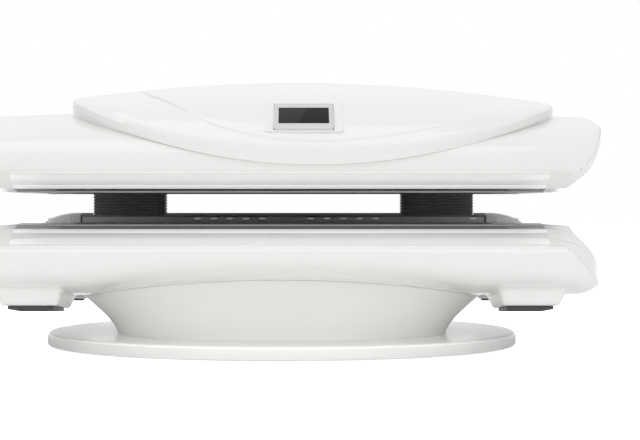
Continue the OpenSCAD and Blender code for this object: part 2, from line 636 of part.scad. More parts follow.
// Canopy frame
hanger_top = 2 * split_z - hanger_low;
top_rail_z = ceil(arch_cz + sqrt(pow(arch_tray_r + tray_t + 1, 2) - rail_y * rail_y));
rib_r = arch_tray_r + tray_t + seam;
module canopy_frame() color(steel_grey) both_sides() {
    for (s = [-1, 1]) translate([0, s * (rail_y + rail_w / 2) - rail_w / 2, top_rail_z])
        cube([rail_half - 10, rail_w, 30]);
    for (x = [post_x - 100, rail_half - 51]) translate([x, 0, 0]) along_x(30)
        arc_strip(rib_r, rib_r + 22, arch_cz, rail_y + weld, true);
    for (x = hanger_x, s = [-1, 1]) translate([x, 0, 0]) mirror([0, s < 0 ? 1 : 0, 0])
        along_x(hanger_w) polygon([[rail_out, top_rail_z + weld], [hanger_y, top_rail_z + weld],
            [hanger_y, hanger_top], [hanger_y + 6, hanger_top],
            [hanger_y + 6, top_rail_z + 28], [rail_out, top_rail_z + 28]]);
    for (s = [-1, 1]) translate([column_x + s * (eye_t / 2 + 5.5) - 2.5, rail_out, strut_z + strut_l - 14])
        cube([5, strut_y + 12 - rail_y - rail_w + weld, 36]);
    translate([column_x - eye_t / 2 - 8, strut_y, strut_z + strut_l]) rotate([0, 90, 0])
        cylinder(r = pin_r, h = eye_t + 16);
}

// Fin over the canopy: its edge drapes over the shell's shoulder, its ridge is a long low arc
fin_e = 3;
fin_us = [-1, -0.985, -0.94, -0.86, -0.72, -0.5, -0.25, 0, 0.25, 0.5, 0.72, 0.86, 0.94, 0.985, 1];
fin_vs = [0, 0.15, 0.35, 0.55, 0.72, 0.84, 0.92, 0.97, 1];
function fin_half_w(u) = max(4, fin_w * pow(max(0, 1 - pow(abs(u), fin_e)), 1 / fin_e));
function ridge_z(x) = fin_top - 0.0001039 * pow(x - 50, 2);
function edge_low(x) = 2 * split_z - rim_z + fin_low
    + (x < fin_mid ? 0.00031 : 0.00028) * pow(x - fin_mid, 2);
function fin_z(x, v) = let (edge = edge_low(x) + fin_edge)
    edge + (ridge_z(x) - edge) * pow(max(0, 1 - v * v), 0.62);
function fin_top_point(u, v) = let (x = fin_mid + u * fin_half) [x, v * fin_half_w(u), fin_z(x, v)];
function fin_under_point(u, v) = let (p = fin_top_point(u, v))
    abs(v) == 1 || abs(u) == 1 ? [p[0], p[1], edge_low(p[0])] : [p[0], p[1] * (1 - wall / fin_w), p[2] - wall];
module fin_cover() color(shell_white) difference() {
    skin([for (v = both_ways(fin_vs)) [for (u = fin_us) fin_top_point(u, v)]],
        [for (v = both_ways(fin_vs)) [for (u = fin_us) fin_under_point(u, v)]]);
    display_place() translate([-display_w / 2 - seam, -display_h / 2 - seam, -60])
        cube([display_w + 2 * seam, display_h + 2 * seam, 120]);
}
plinth_half = 30;
plinth_d = 50;
plinth_gap = wall + 1.8;
module fin_plinth() color(near_black) for (u = [-0.5, 0, 0.5]) {
    x = fin_mid + u * fin_half;
    rotate([90, 0, 0]) linear_extrude(plinth_d, center = true) polygon([
        for (s = [-1, 1]) [x + s * plinth_half, canopy_z(x + s * plinth_half, 0) + seam],
        for (s = [1, 0, -1]) [x + s * plinth_half, ridge_z(x + s * plinth_half) - plinth_gap]]);
}

// Display
display_tilt = 37;
display_y = display_in - fin_w;
display_z = fin_z(display_x, display_y / fin_half_w((display_x - fin_mid) / fin_half)) - 1;
display_t = 12;
display_edge = 14;
display_foot = 28;
screen_w = display_w - 2 * display_edge;
screen_h = display_h - display_foot - 22;
module display_place() translate([display_x, display_y, display_z]) rotate([display_tilt, 0, 0]) children();
module display_bezel() color(satin_metal) display_place() difference() {
    translate([-display_w / 2, -display_h / 2, -display_t]) cube([display_w, display_h, display_t + 6]);
    translate([-screen_w / 2, display_foot - display_h / 2, -display_t / 2])
        cube([screen_w, screen_h, 40]);
}
module display_screen() color(near_black) display_place()
    translate([seam - screen_w / 2, display_foot - display_h / 2 + seam, -display_t / 2])
        cube([screen_w - 2 * seam, screen_h - 2 * seam, display_t / 2 + 4]);

floor_plate();
floor_pads();
pedestal_shell();
pedestal_frame();
bed_frame();
hull_shell();
vent_grille(-1, -1);  // vent_grille_1
vent_grille(1, -1);  // vent_grille_2
vent_grille(-1, 1);  // vent_grille_3
vent_grille(1, 1);  // vent_grille_4
color(shell_white) rail(rim_profile, -1);  // bed_rim_front
color(shell_white) rail(rim_profile, 1);  // bed_rim_rear
color(satin_metal) rail(trim_profile, -1);  // bed_trim_front
color(satin_metal) rail(trim_profile, 1);  // bed_trim_rear
color(dark_grey) rail(lip_profile, -1);  // bed_lip_front
bed_lip_rear();
color(shell_white) mirror([1, 0, 0]) end_moulding(bed_half);  // bed_end_left
color(shell_white) end_moulding(bed_half);  // bed_end_right
bed_clear_sheet();
bed_light_boards();
bed_light_tray();
power_supplies();
control_box();
inlet_panel();
mains_inlet();
switch_rocker();
fan_housings();
fan_rotor(0);  // fan_rotor_1
fan_rotor(1);  // fan_rotor_2
fan_rotor(2);  // fan_rotor_3
fan_rotor(3);  // fan_rotor_4
color(steel_grey) translate([-column_x, 0, 0]) base_leaf();  // hinge_leaf_left
color(steel_grey) translate([column_x, 0, 0]) base_leaf();  // hinge_leaf_right
hinge_pins();
mirror([1, 0, 0]) strut_cylinder();  // strut_cylinder_left
strut_cylinder();  // strut_cylinder_right
mirror([1, 0, 0]) strut_rod();  // strut_rod_left
strut_rod();  // strut_rod_right
mirror([1, 0, 0]) bellows();  // bellows_left
bellows();  // bellows_right
canopy_shell();
color(shell_white) over_split() rail(rim_profile, -1);  // canopy_rim_front
color(shell_white) over_split() rail(rim_profile, 1);  // canopy_rim_rear
color(satin_metal) over_split() rail(trim_profile, -1);  // canopy_trim_front
color(satin_metal) over_split() rail(trim_profile, 1);  // canopy_trim_rear
color(dark_grey) over_split() rail(lip_profile, -1);  // canopy_lip_front
over_split() bed_lip_rear();  // canopy_lip_rear
color(shell_white) over_split() mirror([1, 0, 0]) end_moulding(canopy_half);  // canopy_end_left
color(shell_white) over_split() end_moulding(canopy_half);  // canopy_end_right
canopy_clear_sheet();
canopy_light_boards();
canopy_light_tray();
canopy_frame();
color(steel_grey) translate([-column_x, 0, 0]) canopy_leaf();  // canopy_leaf_left
color(steel_grey) translate([column_x, 0, 0]) canopy_leaf();  // canopy_leaf_right
fin_cover();
fin_plinth();
display_bezel();
display_screen();
hinge_screws();
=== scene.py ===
"""Light therapy bed: fine skins, rails, light bays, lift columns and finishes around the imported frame.

X runs along the bed, the front long side faces -Y, Z is up, and sizes inside the shape functions are in
millimetres. Each operator makes one piece or one group of like pieces, and main() calls them in order.
"""

import math
from collections import namedtuple

import bpy
import numpy as np
from bpy.props import FloatProperty, FloatVectorProperty, IntProperty, PointerProperty
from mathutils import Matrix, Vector


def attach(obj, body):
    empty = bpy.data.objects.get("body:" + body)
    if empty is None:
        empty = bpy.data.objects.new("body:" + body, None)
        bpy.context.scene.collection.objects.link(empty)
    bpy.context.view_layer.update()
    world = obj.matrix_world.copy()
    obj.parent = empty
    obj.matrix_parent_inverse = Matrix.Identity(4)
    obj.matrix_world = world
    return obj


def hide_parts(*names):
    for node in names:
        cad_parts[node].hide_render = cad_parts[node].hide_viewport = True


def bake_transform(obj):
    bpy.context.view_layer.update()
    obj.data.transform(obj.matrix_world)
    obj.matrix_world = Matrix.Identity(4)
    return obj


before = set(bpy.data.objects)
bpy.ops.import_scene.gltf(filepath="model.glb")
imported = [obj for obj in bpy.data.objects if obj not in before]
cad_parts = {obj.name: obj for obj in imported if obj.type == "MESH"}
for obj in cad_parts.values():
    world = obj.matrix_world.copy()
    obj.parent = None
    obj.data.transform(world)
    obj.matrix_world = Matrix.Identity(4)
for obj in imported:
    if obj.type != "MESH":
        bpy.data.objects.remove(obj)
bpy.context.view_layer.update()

bl_info = {
    "name": "Light therapy bed",
    "version": (1, 0, 0),
    "blender": (4, 5, 0),
    "location": "3D View > Sidebar > Light Bed",
    "description": "Builds a clamshell light therapy bed around its packed frame",
    "category": "Object",
}

# Fixed places of the frame, in millimetres: half sizes and heights of the shells, of the light bays between their
# rails and ends, of the four vent legs, and the middles of the bellows
HALF_WIDTH = 565.0
END_REACH = 1047.0
END_BOW = 112.0
SPLIT_Z = 471.5
RIM_Z = 356.7
RAIL_HALF = 801.0
LIP_IN = 405.0
LIP_Z = 428.0
TROUGH_DEPTH = 135.0
ARCH_RISE = 185.0
LEG_X = 785.0
LEG_Y = 260.0
LEG_LOW = 151.6
LEG_RUN = 35.0
GRILLE_TILT = math.radians(8.4)
COLUMN_X = 583.0
COLUMN_Y = 452.0


# Properties


def length(name, text, value, low, high):
    """A length in metres between two limits."""
    return FloatProperty(name=name, description=text, default=value, min=low, max=high, unit="LENGTH")


def colour(name, text, *value):
    """A colour from its three shares."""
    return FloatVectorProperty(name=name, description=text, default=value, size=3, min=0, max=1, subtype="COLOR")


def power(name, text, value, high):
    """The power of a lamp in watts."""
    return FloatProperty(name=name, description=text, default=value, min=0.0, max=high, unit="POWER")


class ShellSizes(bpy.types.PropertyGroup):
    """Sizes of the moulded shells."""

    wall: length("Wall", "Wall of the moulded skins", 0.004, 0.002, 0.006)
    hull_depth: length("Hull depth", "Depth of the hull below its rim at the ends", 0.182, 0.165, 0.2)
    canopy_rise: length("Canopy rise", "Rise of the canopy above its rim", 0.208, 0.19, 0.22)
    fin_step: length("Fin step", "Height of the swept step on the fin", 0.005, 0.0, 0.01)


class ColumnSizes(bpy.types.PropertyGroup):
    """Sizes of the ribbed bellows over the lift struts."""

    length: length("Length", "Length of a bellows along the bed", 0.278, 0.2, 0.29)
    depth: length("Depth", "Depth of a bellows across the bed", 0.084, 0.08, 0.086)
    ribs: IntProperty(name="Ribs", description="Number of folds in each bellows", default=11, min=6, max=20)
    fold: length("Fold", "How far each fold draws in", 0.0035, 0.002, 0.009)
    slack: length("Slack", "How far the rear wall stands back between the lips", 0.028, 0.0, 0.03)


class Finishes(bpy.types.PropertyGroup):
    """Colours of the finishes."""

    shell: colour("Shell", "Gloss white of the shells", 0.737, 0.732, 0.72)
    metal: colour("Metal", "Satin trim metal", 0.86, 0.86, 0.86)
    lip: colour("Lip", "Smoked lip strips", 0.3, 0.3, 0.297)
    rubber: colour("Bellows", "Rubber of the bellows", 0.085, 0.085, 0.086)
    plastic: colour("Black plastic", "Moulded black plastic", 0.03, 0.03, 0.032)


class StageSettings(bpy.types.PropertyGroup):
    """Camera and light of the studio."""

    lens: FloatProperty(name="Lens", description="Focal length of the camera", default=66.3, min=20.0, max=200.0,
                        unit="CAMERA")
    eye_height: length("Eye height", "Height of the camera", 0.546, 0.1, 2.0)
    key_power: power("Key", "Power of the large lamp above the front", 16.0, 500.0)
    fill_power: power("Fill", "Power of the wide low lamp in front", 2.0, 500.0)
    bounce_power: power("Bounce", "Power of each low lamp beside the floor plate", 6.0, 100.0)
    under_power: power("Under", "Power of each low strip lamp that lights the pedestal", 0.62, 20.0)
    ambient: FloatProperty(name="Ambient", description="Strength of the studio's light at the horizon", default=0.84,
                           min=0.0, max=2.0)


# Mesh helpers


def smooth(t):
    """Zero below 0, one above 1, and 3t^2 - 2t^3 between them."""
    c = np.clip(t, 0.0, 1.0)
    return c * c * (3.0 - 2.0 * c)


def ease(t):
    """Zero below 0, one above 1, and 6t^5 - 15t^4 + 10t^3 between them, which starts and ends without a crease."""
    c = np.clip(t, 0.0, 1.0)
    return c**3 * (c * (6.0 * c - 15.0) + 10.0)


def to_mesh(name, points, faces, material, angle=35.0):
    """A closed mesh from points in millimetres and faces, turned outwards by the sign of its volume.

    The volume is the sum over the faces' fans of a . (b x c) / 6; where it is negative each face is reversed.
    """
    quads = [np.asarray(f, int) for f in faces if len(f)]
    volume = 0.0
    for block in quads:
        a = points[block[:, 0]]
        for k in range(1, block.shape[1] - 1):
            volume += np.einsum("ij,ij->i", a, np.cross(points[block[:, k]], points[block[:, k + 1]])).sum()
    if volume < 0:
        quads = [block[:, ::-1] for block in quads]
    mesh = bpy.data.meshes.new(name)
    mesh.from_pydata((points * 0.001).tolist(), [], [row for block in quads for row in block.tolist()])
    mesh.update()
    mesh.shade_smooth()
    mesh.set_sharp_from_angle(angle=math.radians(angle))
    mesh.materials.append(bpy.data.materials[material])
    obj = bpy.data.objects.new(name, mesh)
    bpy.context.scene.collection.objects.link(obj)
    return obj


def grid_cells(rows, columns, wrap=False):
    """Corner indices of each cell of a grid, row by row; with wrap the last column joins the first."""
    i, j = np.meshgrid(np.arange(rows - 1), np.arange(columns if wrap else columns - 1), indexing="ij")
    k = (j + 1) % columns
    return np.stack([i * columns + j, i * columns + k, (i + 1) * columns + k, (i + 1) * columns + j], -1)


def walled_grid(outer, inner, keep=None, wrap=False):
    """Points and faces of a skin: an outer grid, an inner grid of the same shape, and walls that join them
    along every edge of the kept cells."""
    rows, columns = outer.shape[:2]
    cells = grid_cells(rows, columns, wrap)
    kept = np.ones(cells.shape[:2], bool) if keep is None else keep
    count = rows * columns
    faces = [cells[kept], cells[kept][:, ::-1] + count]
    pad = np.zeros((kept.shape[0] + 2, kept.shape[1] + 2), bool)
    pad[1:-1, 1:-1] = kept
    if wrap:
        pad[1:-1, 0] = kept[:, -1]
        pad[1:-1, -1] = kept[:, 0]
    sides = ((0, 1, pad[:-2, 1:-1]), (1, 2, pad[1:-1, 2:]), (2, 3, pad[2:, 1:-1]), (3, 0, pad[1:-1, :-2]))
    for a, b, neighbour in sides:
        edge = cells[kept & ~neighbour]
        faces.append(np.stack([edge[:, b], edge[:, a], edge[:, a] + count, edge[:, b] + count], -1))
    return np.concatenate([outer.reshape(-1, 3), inner.reshape(-1, 3)]), faces


def lofted(rings):
    """Points and faces of a solid through closed rings, with a flat cap on the first and the last."""
    rows, columns = rings.shape[:2]
    cells = grid_cells(rows, columns, True).reshape(-1, 4)
    last = (rows - 1) * columns
    return rings.reshape(-1, 3), [cells, np.arange(columns)[None, ::-1], last + np.arange(columns)[None, :]]


def rounded(corners, radii, steps=5):
    """A closed profile whose corners are rounded: each corner gives way to a quadratic arc that starts and
    ends at its radius from the corner, or at 45 percent of a shorter side."""
    p = np.asarray(corners, float)
    before, after = np.roll(p, 1, 0) - p, np.roll(p, -1, 0) - p
    r = np.broadcast_to(np.asarray(radii, float), len(p))
    la, lb = np.linalg.norm(before, axis=1), np.linalg.norm(after, axis=1)
    a = p + before * (np.minimum(r, 0.45 * la) / la)[:, None]
    b = p + after * (np.minimum(r, 0.45 * lb) / lb)[:, None]
    s = np.linspace(0.0, 1.0, steps)[None, :, None]
    return ((1 - s) ** 2 * a[:, None] + 2 * s * (1 - s) * p[:, None] + s**2 * b[:, None]).reshape(-1, 2)


def along_x(profile, x0, x1, bevel=0.8):
    """Rings of a (y, z) profile carried from x0 to x1; the end rings shrink towards the middle by the bevel."""
    middle = profile.mean(0)
    away = profile - middle
    small = middle + away * (1 - bevel / np.maximum(np.linalg.norm(away, axis=1), 4 * bevel))[:, None]
    xs = [x0, x0 + bevel, x1 - bevel, x1]
    rings = [small, profile, profile, small]
    return np.stack([np.column_stack([np.full(len(profile), x), r]) for x, r in zip(xs, rings)])


def banded(piece, material, low, high):
    """Gives one more finish to the faces whose middle lies between two distances from the middle plane."""
    mesh = piece.data
    mesh.materials.append(bpy.data.materials[material])
    middle = np.empty(3 * len(mesh.polygons))
    mesh.polygons.foreach_get("center", middle)
    across = np.abs(middle[1::3]) * 1000
    index = np.empty(len(mesh.polygons), np.int32)
    mesh.polygons.foreach_get("material_index", index)
    index[(across > low) & (across < high)] = len(mesh.materials) - 1
    mesh.polygons.foreach_set("material_index", index)
    return piece


def part(name, shape, finish, angle, body, slot, *nodes):
    """A piece of that shape that rides on a body and stands for its CAD nodes; the slot is not used."""
    piece = to_mesh(name, *shape, finish, angle)
    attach(piece, body)
    if nodes:
        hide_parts(*nodes)
    return piece


def over_split(points):
    """The same points on the other side of the plane between the two halves; z is their last number."""
    out = np.array(points, float)
    out[..., -1] = 2 * SPLIT_Z - out[..., -1]
    return out


def oval(rx, ry, angle, power):
    """A superellipse: each of cosine and sine keeps its sign and is raised to 2 / power."""
    c, s = np.cos(angle), np.sin(angle)
    return rx * np.sign(c) * np.abs(c) ** (2 / power), ry * np.sign(s) * np.abs(s) ** (2 / power)


def joined(parts):
    """Points and faces of several parts put into one mesh."""
    points, faces, base = [], [], 0
    for p, f in parts:
        points.append(p)
        faces += [np.asarray(block, int) + base for block in f if len(block)]
        base += len(p)
    return np.concatenate(points), faces


def block(x0, x1, y0, y1, z0, z1, radius=2.0):
    """A block with rounded long edges and bevelled ends, its profile carried along x."""
    profile = rounded([[y0, z0], [y1, z0], [y1, z1], [y0, z1]], radius, 4)
    return lofted(along_x(profile, x0, x1, min(radius, 0.3 * (x1 - x0)) * 0.6))


def turned(profile, x, y, z, segments=32):
    """A round piece about a vertical axis from (radius, height) pairs, closed on the axis at both ends."""
    a = np.linspace(0, 2 * math.pi, segments, endpoint=False)
    r, h = np.asarray(profile, float).T
    h = np.repeat(h[:, None] + z, segments, 1)
    return lofted(np.stack([np.outer(r, np.cos(a)) + x, np.outer(r, np.sin(a)) + y, h], -1))


# Shape of the shells


def arch(y):
    """The arch across the bed: (1 - (y / half width)^2) to the power 0.45."""
    return np.maximum(0.0, 1.0 - (y / HALF_WIDTH) ** 2) ** 0.45


SIDES = (("left", -1.0), ("right", 1.0))
# How far the canopy comes down from its middle to its ends
CANOPY_FALL = 24.0
# Up to where the shells' columns stand evenly, and half the opening over each grille
EVEN_REACH = 905.0
VENT_HALF = 54
# One half's end: its reach, the corner's cut and its power, the run and share of the roll at the tip, how far the
# inner rim goes, and for the crest and the trim's edge a set-back, share of the depth, power and share of the cut
Tip = namedtuple("Tip", "reach cut power run share inner crest edge")
BED_TIP = Tip(1042.4, 79.2, 2.05, 70.0, 0.32, 87.0, (7.3, 0.95, 1.35, 0.83), (-5.4, 0.05, 1.28, 0.91))
CANOPY_TIP = Tip(END_REACH, 47.3, 3.5, 50.0, 0.3, 90.0, (58.2, 0.86, 3.2, 0.85), (0.8, 0.6, 1.4, 1.2))


def end_x(y, tip, share=1.0):
    """Where the shells end: the reach, less the bow times (y / half width)^2, less a share of the corner's cut
    times a power of one minus the arch."""
    return tip.reach - END_BOW * (y / HALF_WIDTH) ** 2 - share * tip.cut * (1 - arch(y)) ** tip.power


def roll(x, y, tip):
    """Share of the depth that is left near a tip: it falls as a circle's arc over the tip's run."""
    d = 0.9 * np.clip((np.abs(x) - end_x(y, tip) + tip.run) / tip.run, 0.0, 1.0)
    return 1 - tip.share * (1 - np.sqrt(1 - d * d))


def hull_base(x, y, depth):
    """Underside of the hull without its legs: the rim less a depth that grows with (x / 620)^2, times the
    arch and the tip's roll."""
    return RIM_Z - (135.0 + (depth - 135.0) * np.minimum(1.0, (x / 620.0) ** 2)) * arch(y) * roll(x, y, BED_TIP)


def hull_z(x, y, depth):
    """Underside of the hull: near each vent leg it drops smoothly to the leg's sloped floor."""
    base = hull_base(x, y, depth)
    along = 1 - (np.abs(np.abs(x) - LEG_X) - 80.5) / LEG_RUN
    across = 1 - (np.abs(np.abs(y) - LEG_Y) - 93) / (1.7 * LEG_RUN)
    near = ease(along) * ease(across)
    floor = LEG_LOW + (np.abs(y) - LEG_Y) * math.tan(GRILLE_TILT)
    return base + np.minimum(0.0, floor - base) * near


def canopy_z(x, y, rise):
    """Top of the canopy: its rim plus a rise that falls by 24 towards the ends, times the arch and the roll."""
    return 2 * SPLIT_Z - RIM_Z + (rise - CANOPY_FALL * (x / END_REACH) ** 2) * arch(y) * roll(x, y, CANOPY_TIP)


def spread(stops, counts):
    """Values that pass through the stops, with the given number of even steps between each two."""
    parts = [np.linspace(a, b, n, endpoint=False) for a, b, n in zip(stops[:-1], stops[1:], counts)]
    half = np.append(np.concatenate(parts), stops[-1])
    return np.concatenate([-half[:0:-1], half])


def shell_grid(columns, rows, inset, tip_form):
    """x and y of a shell's grid: the rows' y, and along each row the columns squeezed between its two tips."""
    y = np.repeat(rows[:, None], len(columns), 1)
    tip = end_x(y, tip_form) - inset
    x = np.repeat(columns[None, :], len(rows), 0)
    beyond = np.maximum(0.0, np.abs(x) - EVEN_REACH) / (columns.max() - EVEN_REACH)
    near = np.minimum(np.abs(x), EVEN_REACH) * np.minimum(1.0, (tip - 12.0) / EVEN_REACH)
    return np.sign(x) * (near + beyond * (tip - near)), y


def shell_skins(x, y, z, wall):
    """The outer skin, and the inner one: moved by the wall along z, up where it is positive, and in at the sides."""
    away = wall * smooth((HALF_WIDTH - np.abs(y)) / 12)
    aside = np.sign(y) * abs(wall) * smooth((np.abs(y) - 488) / 60)
    return np.stack([x, y, z], -1), np.stack([x, y - aside, z + away], -1)


class BED_OT_hull(bpy.types.Operator):
    """Hull of the bed: a deep arched skin with four vent legs, open above each grille."""

    bl_idname = "bed.hull"
    bl_label = "Hull"

    def execute(self, context):
        sizes = context.scene.bed_shell
        depth, wall = sizes.hull_depth * 1000, sizes.wall * 1000
        columns = spread([0, 620, 665, 705, 731, 839, 865, EVEN_REACH, 1055], [26, 5, 8, 3, 6, 3, 8, 14])
        rows = spread([0, 106, 172, 206, 314, 348, 416, 500, 545, 560, 564, HALF_WIDTH],
                      [6, 12, 3, 6, 3, 14, 9, 10, 6, 5, 5])
        x, y = shell_grid(columns, rows, 2.0, BED_TIP)
        middle_x, middle_y = ((v[:-1, :-1] + v[1:, 1:]) / 2 for v in (x, y))
        keep = (np.abs(np.abs(middle_x) - LEG_X) > VENT_HALF) | (np.abs(np.abs(middle_y) - LEG_Y) > VENT_HALF)
        shape = walled_grid(*shell_skins(x, y, hull_z(x, y, depth), wall), keep)
        part("hull_skin", shape, "Gloss shell", 50, "base", "white_shell", "hull_shell")
        return {"FINISHED"}


class BED_OT_canopy(bpy.types.Operator):
    """Canopy skin: the arched shell over the bed, its ends bowed in plan."""

    bl_idname = "bed.canopy"
    bl_label = "Canopy"

    def execute(self, context):
        sizes = context.scene.bed_shell
        rise, wall = sizes.canopy_rise * 1000, sizes.wall * 1000
        columns = spread([0, EVEN_REACH, 1055], [36, 18])
        rows = spread([0, 400, 500, 545, 560, 564, HALF_WIDTH], [24, 12, 12, 7, 6, 5])
        x, y = shell_grid(columns, rows, 2.0, CANOPY_TIP)
        shape = walled_grid(*shell_skins(x, y, canopy_z(x, y, rise), -wall))
        part("canopy_skin", shape, "Gloss shell", 50, "canopy", "white_shell", "canopy_shell")
        return {"FINISHED"}


# End mouldings


def tip_depth(depth, tip):
    """Depth of the shell's end edge below the rim: the depth at the tips, times the roll 5 mm short of the end."""
    d = 0.9 * (tip.run - 5.0) / tip.run
    return depth * (1 - tip.share * (1 - math.sqrt(1 - d * d))) - 2.0


def end_lines(t, drop, tip, low):
    """Five lines round an end moulding, at angles t: the light bay's arc, the inner rim, the crest where the
    lip meets the trim, the trim's lower edge, and the shell's end edge.

    Each leaves the rails' own cross section at t = 0, reaches its place beyond the rails within 10 degrees as
    a root of the angle, and sinks towards the middle as a power of sin t.
    """
    a = np.maximum(0.0, np.minimum(t, 180 - t))
    sine, cosine = np.maximum(0.0, np.sin(np.radians(t))), np.cos(np.radians(t))
    mouth_x = RAIL_HALF + 0.3
    edge_y = np.sign(t - 90) * HALF_WIDTH * np.cos(np.radians(np.maximum(0, (a - 1) * 90 / 89)))
    s = np.minimum(1, a / 10) ** 0.6
    root = np.sqrt(np.minimum(1, a / 10))
    mouth = np.stack([0 * t + mouth_x, -LIP_IN * cosine, LIP_Z - drop * sine], -1)
    inner = np.stack([mouth_x + tip.inner * s, -(LIP_IN + 35 - 20 * s) * cosine,
                      LIP_Z - 6.5 * (1 - s) - (drop - 7) * sine**1.4], -1)
    lines = [mouth, inner]
    for across, below, (back, share, power, cut) in ((94, 17.5, tip.crest), (126, 44, tip.edge)):
        top, deep = LIP_Z - below, RIM_Z - low + share * (LIP_Z - drop - RIM_Z + low)
        reach = end_x(edge_y, tip, cut) - back - mouth_x
        lines.append(np.stack([mouth_x + reach * root, -(LIP_IN + across) * cosine,
                               top - (top - deep) * sine**power], -1))
    reach = end_x(edge_y, tip) - mouth_x
    lines.append(np.stack([mouth_x + reach * np.minimum(1, a / 1.5), edge_y,
                           RIM_Z + 0.3 - low * np.where(a < 1, 0.0, arch(edge_y))], -1))
    return np.stack(lines, 1), a


def end_skin(drop, tip, depth, wall, seam_at_metal):
    """The end moulding as a closed skin.

    Between its five lines a point lies on straight chords near the long sides, and from 25 degrees on on the
    cubic curve through them (Catmull and Rom's weights). Past the shell's edge the skin wraps back over the
    shell, and where the seam runs at the trim's lower edge a groove is cut into it. The inside is the same
    surface moved into the shell by the wall. What would pass the reach is eased back to it.
    """
    t = np.concatenate([np.linspace(0, 12, 41)[:-1], np.linspace(12, 40, 29)[:-1], np.linspace(40, 90, 26)])
    t = np.concatenate([t, 180 - t[-2::-1]])
    low = tip_depth(depth, tip)
    p, a = end_lines(t, drop, tip, low)
    ext = np.concatenate([2 * p[:, :1] - p[:, 1:2], p, 2 * p[:, -1:] - p[:, -2:-1]], 1)
    steps = [np.linspace(0, 1, n, endpoint=False) for n in (8, 12, 8, 9)]
    steps[2] = np.append(steps[2], [0.955, 0.985])
    steps[3] = np.insert(steps[3], 1, [0.015, 0.045])
    cell = np.concatenate([np.full(len(step), k) for k, step in enumerate(steps)] + [[3]])
    f = np.append(np.concatenate(steps), 1.0)[None, :, None]
    p0, p1, p2, p3 = (ext[:, cell + k] for k in range(4))
    chord = p1 + (p2 - p1) * f
    curve = 0.5 * (2 * p1 + (p2 - p0) * f + (2 * p0 - 5 * p1 + 4 * p2 - p3) * f**2
                   + (3 * p1 - p0 - 3 * p2 + p3) * f**3)
    line = chord + (curve - chord) * smooth(a / 25)[:, None, None]
    over = np.maximum(0.0, line[..., 0] - tip.reach + 7.0)
    line[..., 0] -= over - 6.5 * (1 - np.exp(-over / 6.5))
    back = np.array([0.5, 4.0, 8.0, 12.0, 15.0, 15.4]) * (0.6 if seam_at_metal else 1.0)
    size = smooth((a - 1.5) / 6)[:, None]
    proud = np.array([1.6, 1.6, 1.6, 1.6, 1.2, -1.5])[None] * size * (0.3 if seam_at_metal else 1.0)
    x = line[:, -1:, 0] - back[None] * size
    y = np.repeat(line[:, -1:, 1], len(back), 1)
    far = smooth((a - 1) / 3)[:, None]
    shell_z = RIM_Z - depth * arch(y) * roll(x, y, tip) - proud
    z = line[:, -1:, 2] * (1 - far) + shell_z * far
    outer = np.concatenate([line, np.stack([x, y, z], -1)], 1)
    angle = np.radians(t)[:, None]
    w = np.concatenate([np.linspace(0, 1, line.shape[1]) ** 3, np.ones(len(back))])[None, :] + 0 * angle
    inward = np.stack([-np.sin(angle) * (0.3 * (1 - w) + w), np.cos(angle) * (0.3 * (1 - w) + w), w - 1], -1)
    inward[:, -len(back):] = np.array([0.0, 0.0, 1.0])
    inward /= np.linalg.norm(inward, axis=-1, keepdims=True)
    thick = np.concatenate([np.full(line.shape[1], wall), wall - np.array([0, 0, 0, 0, 1.0, 2.8])])[None, :, None]
    inner = outer + inward * thick
    inner[..., 0] = np.maximum(inner[..., 0], RAIL_HALF + 0.3)
    if seam_at_metal:
        seam = slice(29, 32)
        outer[:, seam] += inward[:, seam] * 2.4 * smooth(a / 2)[:, None, None]
    return outer, inner


def rear_cap(sign):
    """The white hump over the end of the rear lip: half superellipses across y whose height falls towards the
    end as one minus a power of x."""
    x = np.concatenate([[764.0, 764.8, 767.0], np.linspace(772, 900, 33)])
    size = np.concatenate([[0.93, 0.975, 0.995], np.ones(33)])
    height = 42.4 * (1 - np.maximum(0.0, (x - 790) / 118) ** 1.6) ** 0.625
    turn = np.linspace(math.pi, 0, 33)
    y, z = oval(36.4, 1.0, turn, 4.5)
    rings = [np.column_stack([np.full(len(turn), sign * u), 437.6 + y * k, 395 + z * h * k])
             for u, h, k in zip(x, height, size)]
    return lofted(np.stack(rings if sign > 0 else rings[::-1]))


class BED_OT_ends(bpy.types.Operator):
    """Four end mouldings, two on the bed and two on the canopy, which close the light bays' ends, and the caps
    over the rear lip's ends."""

    bl_idname = "bed.ends"
    bl_label = "End mouldings"

    def execute(self, context):
        sizes = context.scene.bed_shell
        depth, wall, rise = sizes.hull_depth * 1000, sizes.wall * 1000, sizes.canopy_rise * 1000
        lower = end_skin(TROUGH_DEPTH, BED_TIP, depth, wall, True)
        upper = [over_split(g) for g in end_skin(ARCH_RISE, CANOPY_TIP, rise - CANOPY_FALL, wall, False)]
        for side, sign in SIDES:
            self.moulding("bed", "base", side, sign, lower)
            part(f"rear_cap_{side}", rear_cap(sign), "Gloss shell", 50, "base", "white_shell")
            self.moulding("canopy", "canopy", side, sign, upper)
        return {"FINISHED"}

    def moulding(self, half, body, side, sign, skins):
        """One end's moulding: the right end's skins, whose x takes the side's sign."""
        shape = walled_grid(*(g * np.array([sign, 1.0, 1.0]) for g in skins))
        part(f"{half}_end_skin_{side}", shape, "Gloss shell", 28, body, "white_shell", f"{half}_end_{side}")


# Long rails

